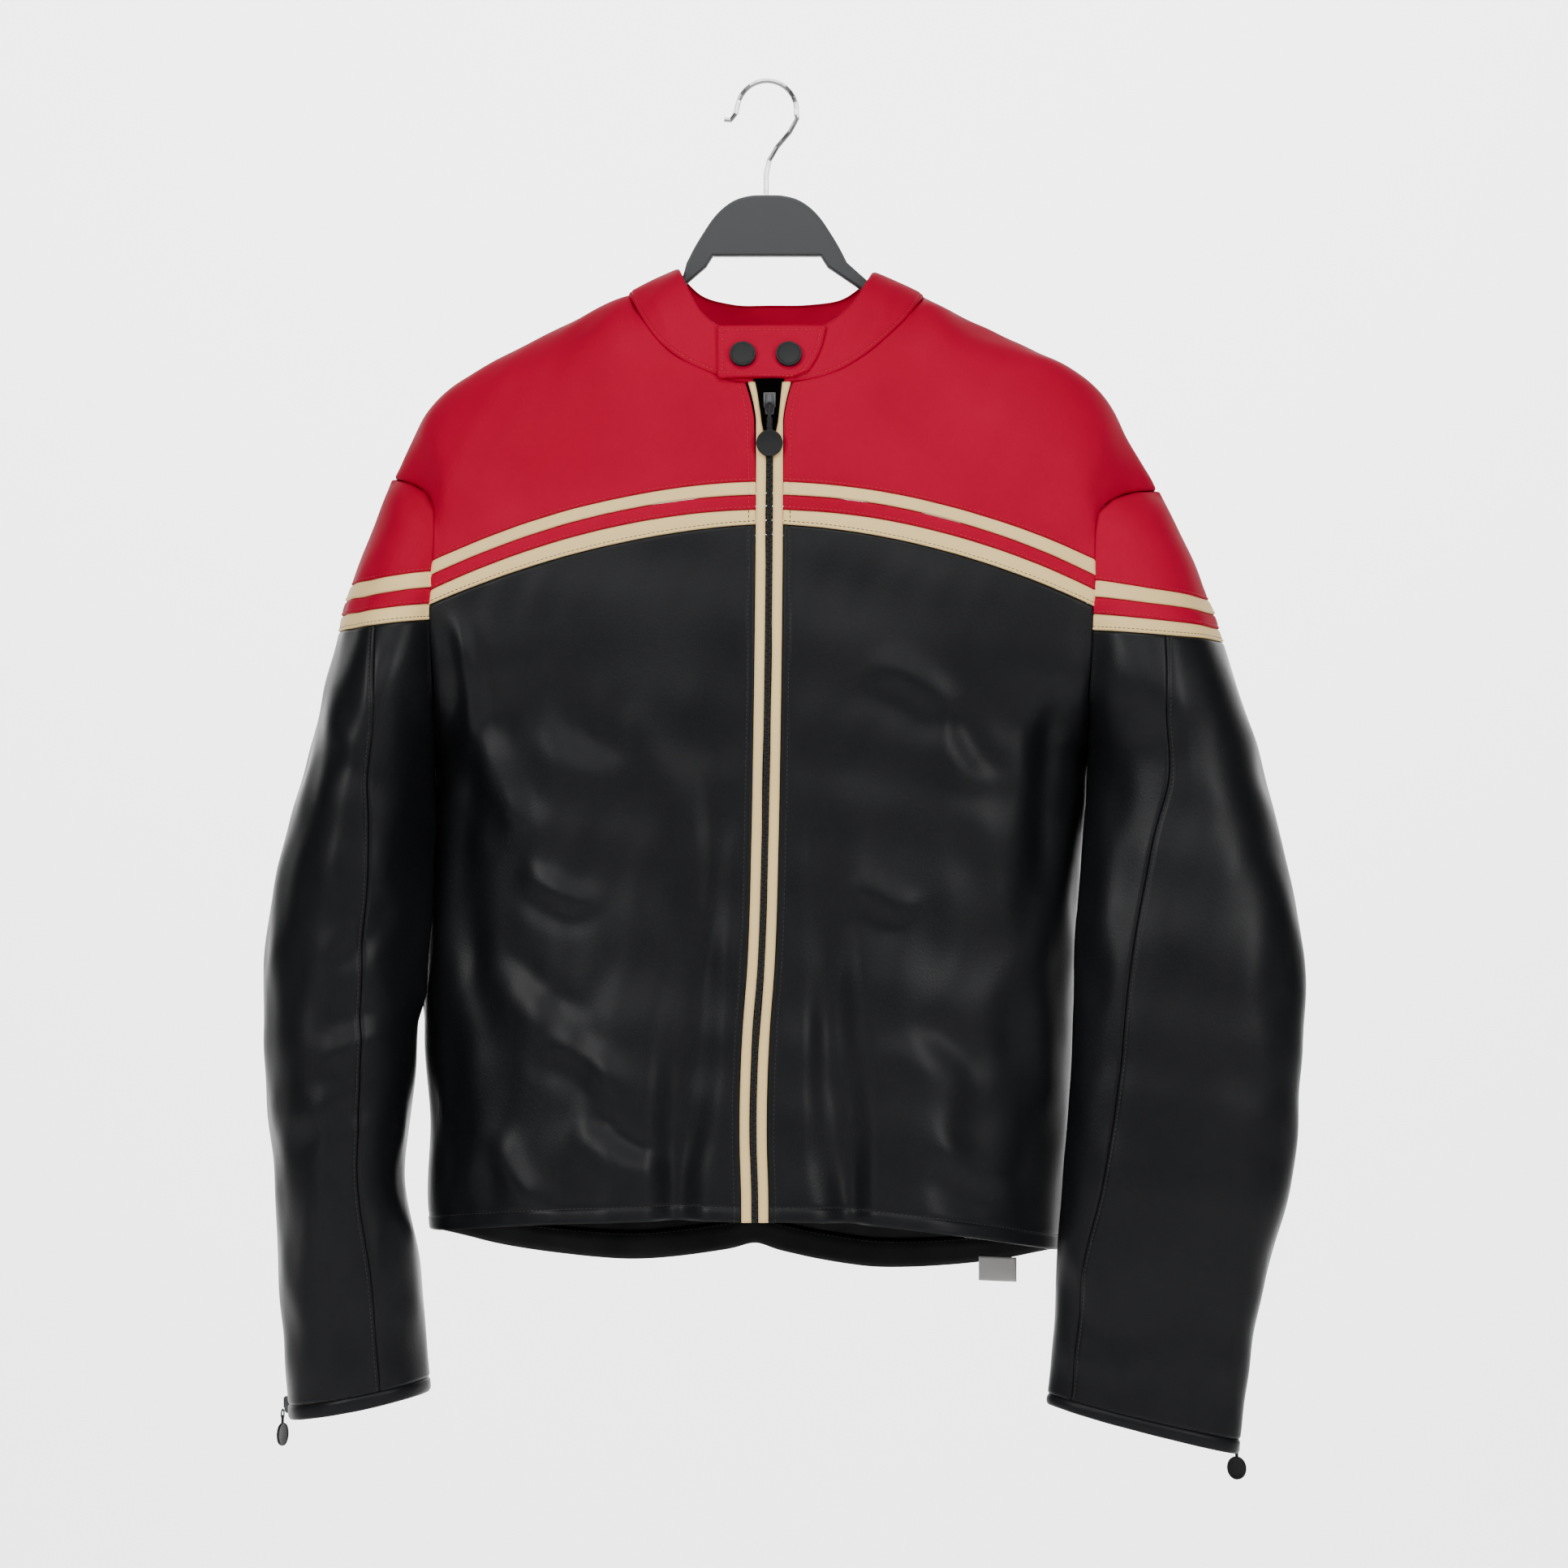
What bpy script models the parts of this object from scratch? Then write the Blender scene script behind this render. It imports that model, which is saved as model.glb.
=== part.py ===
"""A leather motorcycle jacket on a clothes hanger, at rest, in metres with +Z up.

The jacket hangs from the hook's inner top, which is the origin. +X is the wearer's left, -Y the
front. The sizes below are in millimetres and are turned to metres when a mesh is made.

The torso is a front and a back sheet. Each half of a sheet is a grid: its columns run across from
the centre (0) to the armhole and side seam (1), and its rows run down from the neckline and the
shoulder ridge to the hem. A sleeve is a grid too: its columns run round from the underarm by the
front, the outer side and the back, and its rows run down from the cap to the cuff. Every panel is
a part of a grid, given its thickness along the grid's own normals, so that neighbours meet along a
seam with the same edge.
"""

import math
from collections import namedtuple

import bmesh
import bpy
import numpy as np
from mathutils import Matrix, Vector

MM = 0.001
WALL = 2.0  # leather with its backing
COLLAR_WALL = 2.6
TRIM_WALL = 1.6
SEAM = 0.3  # clear gap between two pieces that are sewn together
LOOSE = 0.8  # clear gap between a piece and the curved panel that it lies on
DIAGONAL = np.array([1, 0.37, 0.21])  # orders an edge's points, so that neighbours' edge faces split alike

RIGHT, LEFT = -1, 1  # the wearer's sides, as the sign of x
FRONT, BACK = -1, 1  # as the sign of y

# Share of the way from the centre to the side seam, one for each column of a half sheet.
ACROSS = (0, 0.06, 0.12, 0.2, 0.28, 0.34, 0.4, 0.52, 0.68, 0.82, 0.87, 0.91, 0.945, 0.975, 1)
NECK_COLUMN = 6
BINDING_EDGE = 9.4  # from the zip's middle to the front panels
BINDING_INNER = 9.1  # from the zip's middle to a binding's outer edge

# The top of a half front: (x, z) at each column, by the neckline and then the shoulder ridge.
TOP = {
    RIGHT: ((-9, -211), (-22, -210), (-37, -205), (-55, -197), (-72, -184), (-84, -168), (-95, -147),
            (-125, -161), (-169, -183), (-211, -206), (-224, -216), (-235, -229), (-242, -245),
            (-250, -261), (-256, -273)),
    LEFT: ((12, -211), (25, -210), (42, -206), (61, -196), (79, -182), (94, -167), (108, -148),
           (137, -163), (181, -184), (218, -203), (231, -216), (241, -231), (249, -247),
           (259, -264), (268, -281)),
}
BACK_NECK_DROP = 31  # of the back neckline's middle, below the neck points

# The armhole from the shoulder tip to the underarm: half is half its depth from front to back.
Hole = namedtuple("Hole", "x z half")
ARMHOLE = {
    RIGHT: [Hole(*row) for row in (
        (-256, -273, 0), (-245, -277, 22), (-233, -284, 36), (-226, -296, 47), (-226, -312, 54),
        (-227, -332, 58), (-228, -342, 59), (-228, -352, 60), (-229, -362, 60), (-228, -392, 57),
        (-227, -427, 43), (-230, -458, 0))],
    LEFT: [Hole(*row) for row in (
        (268, -281, 0), (253, -283, 22), (238, -288, 36), (226, -298, 47), (223, -313, 54),
        (223, -331, 58), (223, -342, 59), (223, -352, 60), (222, -363, 60), (221, -392, 57),
        (219, -427, 43), (222, -458, 0))],
}
BAND_ROW = 5  # the row at the top of the upper stripe
RIDGE_CROWD = 1.5  # crowds a yoke's rows towards the shoulder ridge, where the sheet rounds over
BAND_NAMES = ("stripe_upper", "stripe_middle", "stripe_lower")
BLACK_ROW = BAND_ROW + len(BAND_NAMES)
UNDERARM_ROW = 11
LOWER_ROWS = 13  # from the underarm's fold to the hem
UNDERARM_FOLD = 9  # height of the rounded fold under the arm
ARMHOLE_CLEAR = 2.8  # of the sleeve from the torso at the underarm, where both walls lie side by side

# The stripes' four edges: z at the zip, half way across and at the armhole.
Edge = namedtuple("Edge", "centre middle side")
STRIPES = (Edge(-279, -294, -332), Edge(-288, -303, -342), Edge(-298, -313, -352), Edge(-308, -325, -362))
HEM = {
    (FRONT, RIGHT): Edge(-779, -780, -791), (FRONT, LEFT): Edge(-779, -785, -805),
    (BACK, RIGHT): Edge(-806, -815, -791), (BACK, LEFT): Edge(-806, -822, -805),
}

# Sizes down the torso by height: x of the zip, of the side seams, the seams' y, the sheets' depths.
Torso = namedtuple("Torso", "z zip right left seam_y front back")
TORSO = [Torso(*row) for row in (
    (-140, 2, -230, 226, 0, 60, 48),
    (-210, 2, -230, 226, 0, 65, 55),
    (-280, 2, -230, 226, 0, 72, 62),
    (-400, 1, -230, 222, 0, 78, 64),
    (-467, 0, -226, 218, 3, 77, 62),
    (-520, -1, -226, 216, 8, 76, 60),
    (-610, -4, -232, 212, 12, 76, 58),
    (-650, -7, -236, 211, 12, 77, 58),
    (-725, -9, -232, 207, 12, 79, 60),
    (-760, -8, -234, 205, 12, 80, 62),
    (-806, -8, -231, 203, 12, 82, 64))]
ROOF = 70  # drop below the shoulder ridge over which a sheet rounds out to its depth
SIDE_POWER = 3.2
SIDE_ROUND = 1.8

# The largest folds: a ridge (+) or trough (-) that grows down a straight line from top to foot.
Fold = namedtuple("Fold", "face x_top z_top x_foot z_foot width height")
FOLDS = [Fold(*row) for row in (
    (FRONT, -24, -330, -62, -790, 13, -13),
    (FRONT, 28, -400, 56, -790, 13, -14),
    (FRONT, -60, -420, -110, -800, 26, 7),
    (FRONT, 60, -430, 120, -800, 28, 7),
    (FRONT, -170, -420, -205, -760, 14, -6),
    (FRONT, 175, -420, 185, -780, 15, -6),
    (BACK, -70, -380, -95, -815, 22, -9),
    (BACK, 60, -400, 78, -815, 22, -9),
    (BACK, -5, -460, -8, -815, 30, 7),
    (BACK, -165, -430, -190, -790, 16, -6),
    (BACK, 160, -430, 170, -790, 16, -6))]

# Collar: (x, z) of its top edge at each column of the front neckline, then of the back one.
COLLAR_TOP = {
    (FRONT, RIGHT): ((-10, -175), (-22, -174), (-33, -171), (-43, -163), (-50, -152), (-56, -140),
                     (-60, -129)),
    (FRONT, LEFT): ((11, -175), (25, -175), (38, -172), (50, -164), (59, -154), (66, -143), (72, -132)),
    (BACK, RIGHT): ((-3, -150), (-18, -150), (-31, -148), (-42, -145), (-50, -140), (-56, -134)),
    (BACK, LEFT): ((-3, -150), (21, -150), (36, -149), (49, -147), (58, -143), (65, -138)),
}
COLLAR_ROWS = 4
COLLAR_LEAN = 0.8  # the top edge's y as a share of the base's

TAB_X = (-33, -24, -12, 2, 16, 28, 40)
TAB_TOP, TAB_FOOT = -173.5, -209.5
TAB_WALL = 3.0
SNAP_X = (-16, 15)
SNAP_Z = -194.5
SNAP_RADIUS, SNAP_HEIGHT = 8.8, 2.6

# Half the gap between the two zip bindings, by height: the zip stands open above its slider.
Gap = namedtuple("Gap", "z half")
ZIP_GAP = [Gap(*row) for row in ((-806, 2.3), (-262, 2.3), (-248, 3.4), (-238, 5.4), (-228, 6.0), (-205, 6.6))]
CHAIN_HALF = 1.9
SLIDER_Z, SLIDER_SIZE, SLIDER_OUT = -226, (8.6, 6.4, 15), 2.6
PULL_DISC_RADIUS, PULL_THICK, PULL_BAR = 9.0, 1.8, 4.2
PULL_REACH = 27  # from the pivot to the disc's middle
PULL_CLEAR = 1.3  # of the pivot, in front of the slider

# A sleeve's open rows lie between the cap and the underarm: the outer point and, as a number
# counted along the armhole's points, the point where the row starts and ends.
Cap = namedtuple("Cap", "x z start")
CAP = {
    RIGHT: [Cap(*row) for row in (
        (-256, -273, 3), (-261, -286, 4), (-268, -304, 4.6), (-276, -324, 5.2), (-284, -347, 5.7),
        (-288, -358, 6.8), (-291, -368, 7.9), (-293, -379, 8.33), (-298, -399, 9), (-306, -429, 10),
        (-313, -458, 11))],
    LEFT: [Cap(*row) for row in (
        (268, -281, 3), (275, -295, 4), (284, -313, 4.7), (294, -334, 5.4), (303, -357, 6.3),
        (307, -367, 7.4), (310, -377, 8.17), (313, -386, 8.55), (318, -401, 9), (328, -431, 10),
        (337, -458, 11))],
}
CAP_BAND_ROW = 4
CAP_BLACK_ROW = CAP_BAND_ROW + len(BAND_NAMES)
# Below the underarm a row is closed: its outer and inner points, its middle's y, half its depth,
# and the angle from the outer point to the front and back seams.
Tube = namedtuple("Tube", "x_out z_out x_in z_in y half seam")
TUBE = {
    RIGHT: [Tube(*row) for row in (
        (-315, -466, -235, -467, 0, 80, 99),
        (-329, -519, -236, -519, -2, 78, 108),
        (-345, -609, -240, -609, -6, 68, 111),
        (-344, -687, -243, -687, -8, 65, 112),
        (-338, -754, -250, -754, -8, 60, 113),
        (-335, -822, -239, -815, -8, 52, 112),
        (-332, -861, -237, -845, -6, 48, 112),
        (-328, -920, -233, -901, -4, 43, 112))],
    LEFT: [Tube(*row) for row in (
        (339, -466, 227, -467, 0, 66, 98),
        (352, -519, 222, -519, -12, 58, 112),
        (367, -609, 212, -609, -30, 45, 124),
        (363, -687, 208, -687, -34, 41, 128),
        (358, -754, 203, -754, -34, 38, 133),
        (342, -816, 199, -808, -30, 33, 140),
        (333, -858, 198, -846, -26, 30, 142),
        (322, -942, 193, -908, -22, 27, 142))],
}
TUBE_ROWS = 15
CUFF_BAND = 10
INNER_COLUMNS, OUTER_COLUMNS = 4, 12  # round a sleeve: either side of a seam
CAP_SEAM_ANGLE = 72
CUFF_ZIP_LENGTH, CUFF_ZIP_HALF = 95, 4.0
CUFF_SLIDER_SIZE = (4.0, 7.0, 12)
CUFF_DISC_RADIUS, CUFF_PULL_REACH = 8.0, 17

HANGER_THICK = 11
HANGER_BEVEL = 1.6
HANGER_ARM = 11  # height of an arm's outline, which its bevel makes thicker all round
HANGER_CLEAR = 5.8  # of an arm, below the shoulder ridge's middle surface
HANGER_END = 200
# The plate's outline from the hook down one side: the way along it, x and z.
Arch = namedtuple("Arch", "run x z")
HANGER_ARCH = ((0, 0, -79), (12, 12, -79.6), (21, 20.6, -82), (29, 27.5, -86.2), (39, 35, -93.5), (51, 42, -103.6),
               (64, 49, -115.2), (75, 54, -125))
HANGER_WINDOW = ((0, -118), (38, -118), (43, -126))
HOOK_WIRE = 1.7
HOOK_RADIUS = 20.5
# The hook's wire, from its tip over the top and down to the plate, after its round part.
HOOK_TIP = ((-29.5, -25), (-25, -25.5), (-21.5, -21))
HOOK_NECK = ((21, -24), (15.5, -34), (7, -44), (1.5, -53.5), (-0.5, -63), (-0.5, -76.6))

FACING_HEIGHT = 20  # of the strip turned up inside the back hem
LABEL_X, LABEL_Z, LABEL_SIZE = 161, -822, (26, 17)

COLOURS = {
    "red_leather": (0.42, 0.012, 0.018, 0.45, 0),
    "black_leather": (0.012, 0.013, 0.015, 0.42, 0),
    "cream_leather": (0.75, 0.64, 0.48, 0.5, 0),
    "black_metal": (0.02, 0.022, 0.025, 0.35, 0.8),
    "hanger_plastic": (0.035, 0.04, 0.045, 0.5, 0),
    "chrome_wire": (0.7, 0.7, 0.72, 0.15, 1),
    "label_cloth": (0.6, 0.6, 0.6, 0.7, 0),
}


def material(name):
    if name in bpy.data.materials:
        return bpy.data.materials[name]
    made = bpy.data.materials.new(name)
    made.use_nodes = True
    shader = made.node_tree.nodes["Principled BSDF"]
    red, green, blue, roughness, metallic = COLOURS[name]
    shader.inputs["Base Color"].default_value = (red, green, blue, 1)
    shader.inputs["Roughness"].default_value = roughness
    shader.inputs["Metallic"].default_value = metallic
    return made


def add(name, mesh, finish, collection):
    obj = bpy.data.objects.new(name, mesh)
    mesh.materials.clear()
    mesh.materials.append(material(finish))
    collection.objects.link(obj)
    return obj


Step = namedtuple("Step", "z value")


def between(rows, column, z):
    """A table's column at height z, read along a smooth curve through its rows."""
    heights = np.array([row.z for row in rows], float)
    values = np.array([getattr(row, column) for row in rows], float)
    order = np.argsort(heights)
    heights, values = heights[order], values[order]
    slopes = np.gradient(values, heights)
    z = np.clip(z, heights[0], heights[-1])
    i = np.clip(np.searchsorted(heights, z) - 1, 0, len(heights) - 2)
    span = heights[i + 1] - heights[i]
    t = (z - heights[i]) / span
    return (values[i] * (1 + 2 * t) * (1 - t) ** 2 + values[i + 1] * t * t * (3 - 2 * t)
            + span * t * (1 - t) * (slopes[i] * (1 - t) - slopes[i + 1] * t))


def read_along(rows, column, at):
    """A table's column read along a smooth curve through its rows, by the way along it."""
    return np.array([float(between([Step(row.run, getattr(row, column)) for row in rows], "value", run))
                     for run in at])


def across(edge, share):
    """A stripe's or hem's height at a share of the way across: a curve through its three heights."""
    return (edge.centre * (1 - share) * (1 - 2 * share) + edge.middle * 4 * share * (1 - share)
            + edge.side * share * (2 * share - 1))


def unit(vectors):
    return vectors / np.maximum(np.linalg.norm(vectors, axis=-1, keepdims=True), 1e-9)


def grid_normals(grid, sign, closed_from=None):
    """Outward normals of a grid of points; below row closed_from its first and last columns are one."""
    down = np.gradient(grid, axis=0)
    round_ = np.gradient(grid, axis=1)
    if closed_from is not None:
        wrapped = (grid[closed_from:, 1] - grid[closed_from:, -2]) / 2
        round_[closed_from:, 0] = wrapped
        round_[closed_from:, -1] = wrapped
        down[closed_from:, 0] = down[closed_from:, -1] = (
            down[closed_from:, 0] + down[closed_from:, -1]) / 2
    return unit(np.cross(round_, down)) * sign


# ---------------------------------------------------------------- the torso's sheets


def torso_rows(side, face):
    """Height at the centre and at the side seam for each row below the stripes."""
    hem = HEM[face, side]
    holes = ARMHOLE[side]
    sides = [hole.z for hole in holes[BLACK_ROW:]]
    fold = holes[-1].z - UNDERARM_FOLD
    sides += [fold + (hem.side - fold) * i / LOWER_ROWS for i in range(LOWER_ROWS + 1)]
    start, foot = STRIPES[-1].centre, hem.centre
    centres = [start + (foot - start) * i / (len(sides) - 1) for i in range(len(sides))]
    return centres, sides


def fold_height(face, x, z):
    """How far the folds of a sheet stand out at a point."""
    total = 0.0
    for fold in FOLDS:
        if fold.face != face:
            continue
        run = np.clip((fold.z_top - z) / (fold.z_top - fold.z_foot), 0, 1)
        middle = fold.x_top + (fold.x_foot - fold.x_top) * run
        swell = run * run * (3 - 2 * run)
        total += fold.height * swell * math.exp(-(((x - middle) / fold.width) ** 2))
    return total


def sheet(side, face):
    """One half of the front or back: points[row][column]."""
    centres, sides = torso_rows(side, face)
    holes = ARMHOLE[side]
    hem = HEM[face, side]
    top = list(TOP[side])
    neck_z = top[NECK_COLUMN][1]
    middle_x = between(TORSO, "zip", STRIPES[0].centre)
    if face == BACK:
        for column in range(NECK_COLUMN):
            share = ACROSS[column] / ACROSS[NECK_COLUMN]
            x = middle_x + (top[NECK_COLUMN][0] - middle_x) * share
            top[column] = (x, neck_z - BACK_NECK_DROP * math.sqrt(1 - share ** 2.4))
    points = []
    count = BLACK_ROW + len(sides)
    for row in range(count):
        line = []
        for column, share in enumerate(ACROSS):
            line.append(sheet_point(side, face, row, column, share, centres, sides, holes, hem, top))
        points.append(line)
    return np.array(points, float)


def sheet_point(side, face, row, column, share, centres, sides, holes, hem, top):
    top_x, top_z = top[column]
    inset = BINDING_EDGE * side if face == FRONT else 0
    neck_z = top[NECK_COLUMN][1]
    if row <= BAND_ROW:
        low_z = across(STRIPES[0]._replace(side=holes[BAND_ROW].z), share)
        zip_x = between(TORSO, "zip", low_z) + inset
        low_x = zip_x + (holes[BAND_ROW].x - zip_x) * share
        run = (row / BAND_ROW) ** RIDGE_CROWD
        x, z = top_x + (low_x - top_x) * run, top_z + (low_z - top_z) * run
        pull = max(0.0, (share - 0.8) / 0.2) ** 3
        edge_x = top[-1][0] + (holes[BAND_ROW].x - top[-1][0]) * run
        edge_z = top[-1][1] + (holes[BAND_ROW].z - top[-1][1]) * run
        x += (holes[row].x - edge_x) * pull
        z += (holes[row].z - edge_z) * pull
        half = holes[row].half
    elif row <= BLACK_ROW:
        z = across(STRIPES[row - BAND_ROW]._replace(side=holes[row].z), share)
        zip_x = between(TORSO, "zip", z) + inset
        x = zip_x + (holes[row].x - zip_x) * share
        half = holes[row].half
    else:
        step = row - BLACK_ROW
        start = across(STRIPES[-1]._replace(side=holes[BLACK_ROW].z), share)
        centre_run = step / (len(sides) - 1)
        side_run = (sides[step] - sides[0]) / (hem.side - sides[0])
        run = centre_run + (side_run - centre_run) * share ** 2
        z = start + (across(hem, share) - start) * run
        seam_x = between(TORSO, "right" if side == RIGHT else "left", sides[step])
        if row <= UNDERARM_ROW:
            seam_x = holes[row].x
        half = holes[row].half if row <= UNDERARM_ROW else 0
        zip_x = between(TORSO, "zip", z) + inset
        x = zip_x + (seam_x - zip_x) * share
    depth = between(TORSO, "front" if face == FRONT else "back", z)
    below = math.hypot(x - top_x, z - top_z) + (max(0, neck_z - top_z) if column < NECK_COLUMN else 0)
    depth *= math.sqrt(1 - (1 - min(below / ROOF, 1)) ** 2)
    lower = min(max((row - BLACK_ROW) / (UNDERARM_ROW - BLACK_ROW), 0), 1)
    lens = (1 - share ** SIDE_POWER) ** (1 / (1 + (SIDE_ROUND - 1) * lower))
    depth = half + (max(depth, half) - half) * lens
    depth += fold_height(face, x, z) * lens
    seam_y = between(TORSO, "seam_y", z) if row > UNDERARM_ROW else 0
    return x, seam_y * share * share + face * depth, z


# ---------------------------------------------------------------- sleeves


def armhole_at(side, start, face):
    """The armhole's point at a number counted along its points, on the front or back."""
    holes = ARMHOLE[side]
    i = min(int(start), len(holes) - 2)
    t = start - i
    a, b = holes[i], holes[i + 1]
    return np.array([a.x + (b.x - a.x) * t, face * (a.half + (b.half - a.half) * t), a.z + (b.z - a.z) * t])


def ring_angles(limit, seam):
    """Angles round a row from its start at -limit... by the front, the outer point and the back."""
    inner = np.linspace(limit, seam, INNER_COLUMNS + 1)
    outer = np.linspace(seam, -seam, OUTER_COLUMNS + 1)
    return np.radians(np.concatenate([inner, outer[1:], -inner[::-1][1:]]))


def arc(x_out, z_out, x_in, z_in, half_in, half, y, seam):
    """One row of a sleeve. half_in is half the opening at the armhole, 0 on a closed row."""
    limit = 180 - math.degrees(math.asin(min(half_in / half, 1)))
    angles = ring_angles(limit, min(seam, limit * 0.72) if half_in else seam)
    reach = (x_out - x_in) / (1 - math.cos(math.radians(limit)))
    middle = x_out - reach
    x = middle + reach * np.cos(angles)
    share = (x - x_in) / (x_out - x_in)
    return np.stack([x, y - half * np.sin(angles), z_in + (z_out - z_in) * share], axis=1)


def cap_top(side):
    """A sleeve's first row lies along the armhole's top, over the shoulder tip."""
    start = CAP[side][0].start
    count = 2 * INNER_COLUMNS + OUTER_COLUMNS
    points = []
    for column in range(count + 1):
        along = (1 - 2 * column / count) * start
        points.append(armhole_at(side, abs(along), FRONT if along > 0 else BACK))
    return np.array(points)


def sleeve(side):
    """A sleeve's grid: points[row][column], and the row from which it is closed."""
    holes = ARMHOLE[side]
    caps, tubes = CAP[side], TUBE[side]
    full = tubes[0].half
    rows = [cap_top(side)]
    top_z, arm_z = holes[0].z, holes[-1].z
    for cap in caps[1:]:
        hole = armhole_at(side, cap.start, FRONT)
        share = (top_z - hole[2]) / (top_z - arm_z)
        half = math.hypot(hole[1], full * share * share * (3 - 2 * share))
        rows.append(arc(cap.x, cap.z, hole[0], hole[2], -hole[1], half, 0, CAP_SEAM_ANGLE
                        + (tubes[0].seam - CAP_SEAM_ANGLE) * max(0, share - 0.5) * 2))
    columns = {name: [getattr(tube, name) for tube in tubes] for name in Tube._fields}
    outs = np.array(columns["z_out"], float)
    last = outs[-1] + CUFF_BAND
    heights = list(np.linspace(outs[0], last, TUBE_ROWS)) + [outs[-1]]
    for z_out in heights:
        values = [smooth(outs, np.array(columns[name], float), z_out) for name in Tube._fields]
        tube = Tube(*values)
        rows.append(arc(tube.x_out, tube.z_out, tube.x_in, tube.z_in, 0, tube.half, tube.y, tube.seam))
    grid, closed = np.array(rows), len(caps) - 1
    near_armhole = np.linspace(-1, 1, grid.shape[1]) ** 2
    for row in range(closed + 1):
        share = row / closed
        apart = ARMHOLE_CLEAR * (0.5 + 0.5 * share ** 3)
        grid[row, :, 0] += side * apart * (1 - share * (1 - near_armhole))
    return grid, closed


def smooth(xs, ys, x):
    """A smooth curve through (xs, ys), which fall, read at x."""
    return float(between([Step(a, b) for a, b in zip(xs, ys)], "value", x))


# ---------------------------------------------------------------- walls


def inset(points, rows, columns, edges):
    """The part of a grid between rows and columns, with each named edge drawn in by half a seam."""
    part = points[rows[0]:rows[1] + 1, columns[0]:columns[1] + 1].copy()
    if "top" in edges:
        part[0] += unit(part[1] - part[0]) * SEAM / 2
    if "foot" in edges:
        part[-1] += unit(part[-2] - part[-1]) * SEAM / 2
    if "first" in edges:
        part[:, 0] += unit(part[:, 1] - part[:, 0]) * SEAM / 2
    if "last" in edges:
        part[:, -1] += unit(part[:, -2] - part[:, -1]) * SEAM / 2
    return part


def wall(name, points, normals, finish, collection, thick=WALL, shift=0.0, merge=(), drop=()):
    """A closed wall on a grid: points moved out by shift, with half the thickness either way.

    merge pairs grid places that are one point, and drop lists the grid squares that are left out."""
    rows, columns = points.shape[:2]
    index = np.arange(rows * columns).reshape(rows, columns)
    for kept, gone in merge:
        index[gone] = index[kept]
    quads = []
    for i in range(rows - 1):
        for j in range(columns - 1):
            if (i, j) not in drop:
                quads.append((index[i, j], index[i + 1, j], index[i + 1, j + 1], index[i, j + 1]))
    flat, out = points.reshape(-1, 3), normals.reshape(-1, 3)
    outer = flat + out * (shift + thick / 2)
    inner = flat + out * (shift - thick / 2)
    bm = bmesh.new()
    used = sorted({corner for quad in quads for corner in quad})
    outside = {k: bm.verts.new(outer[k] * MM) for k in used}
    inside = {k: bm.verts.new(inner[k] * MM) for k in used}
    directed = {}
    for quad in quads:
        bm.faces.new([outside[k] for k in quad])
        bm.faces.new([inside[k] for k in reversed(quad)])
        for a, b in zip(quad, quad[1:] + quad[:1]):
            directed[a, b] = True
    for a, b in directed:
        if (b, a) in directed:
            continue
        if flat[a] @ DIAGONAL < flat[b] @ DIAGONAL:
            bm.faces.new([outside[b], outside[a], inside[b]])
            bm.faces.new([outside[a], inside[a], inside[b]])
        else:
            bm.faces.new([outside[b], outside[a], inside[a]])
            bm.faces.new([outside[b], inside[a], inside[b]])
    bmesh.ops.recalc_face_normals(bm, faces=bm.faces)
    mesh = bpy.data.meshes.new(name)
    bm.to_mesh(mesh)
    bm.free()
    mesh.shade_smooth()
    mesh.set_sharp_from_angle(angle=math.radians(50))
    return add(name, mesh, finish, collection)


def torso_grids():
    """The four half sheets with their normals; those on the ridge and side seams lie in the seam."""
    grids = {}
    for face in (FRONT, BACK):
        for side in (RIGHT, LEFT):
            points = sheet(side, face)
            if face == BACK and side == LEFT:
                points[:, 0] = grids[BACK, RIGHT][0][:, 0]
            normals = grid_normals(points, side * face)
            for place in [(0, slice(NECK_COLUMN, None)), (slice(UNDERARM_ROW + 1, None), -1)]:
                normals[place][..., 1] = 0
            normals[0, -1] = unit(np.array([side, 0, 0.4]))
            normals[UNDERARM_ROW, -1] = (0, 0, -1)
            grids[face, side] = points, unit(normals)
    for side in (RIGHT, LEFT):
        front, back = grids[FRONT, side][1], grids[BACK, side][1]
        for place in [(0, slice(NECK_COLUMN, None)), (slice(UNDERARM_ROW + 1, None), -1)]:
            shared = unit(front[place] + back[place])
            front[place] = shared
            back[place] = shared
    return grids


def join_halves(right, left):
    """The two halves of a back sheet as one grid, from the right side seam to the left one."""
    return np.concatenate([right[:, ::-1], left[:, 1:]], axis=1)


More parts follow.
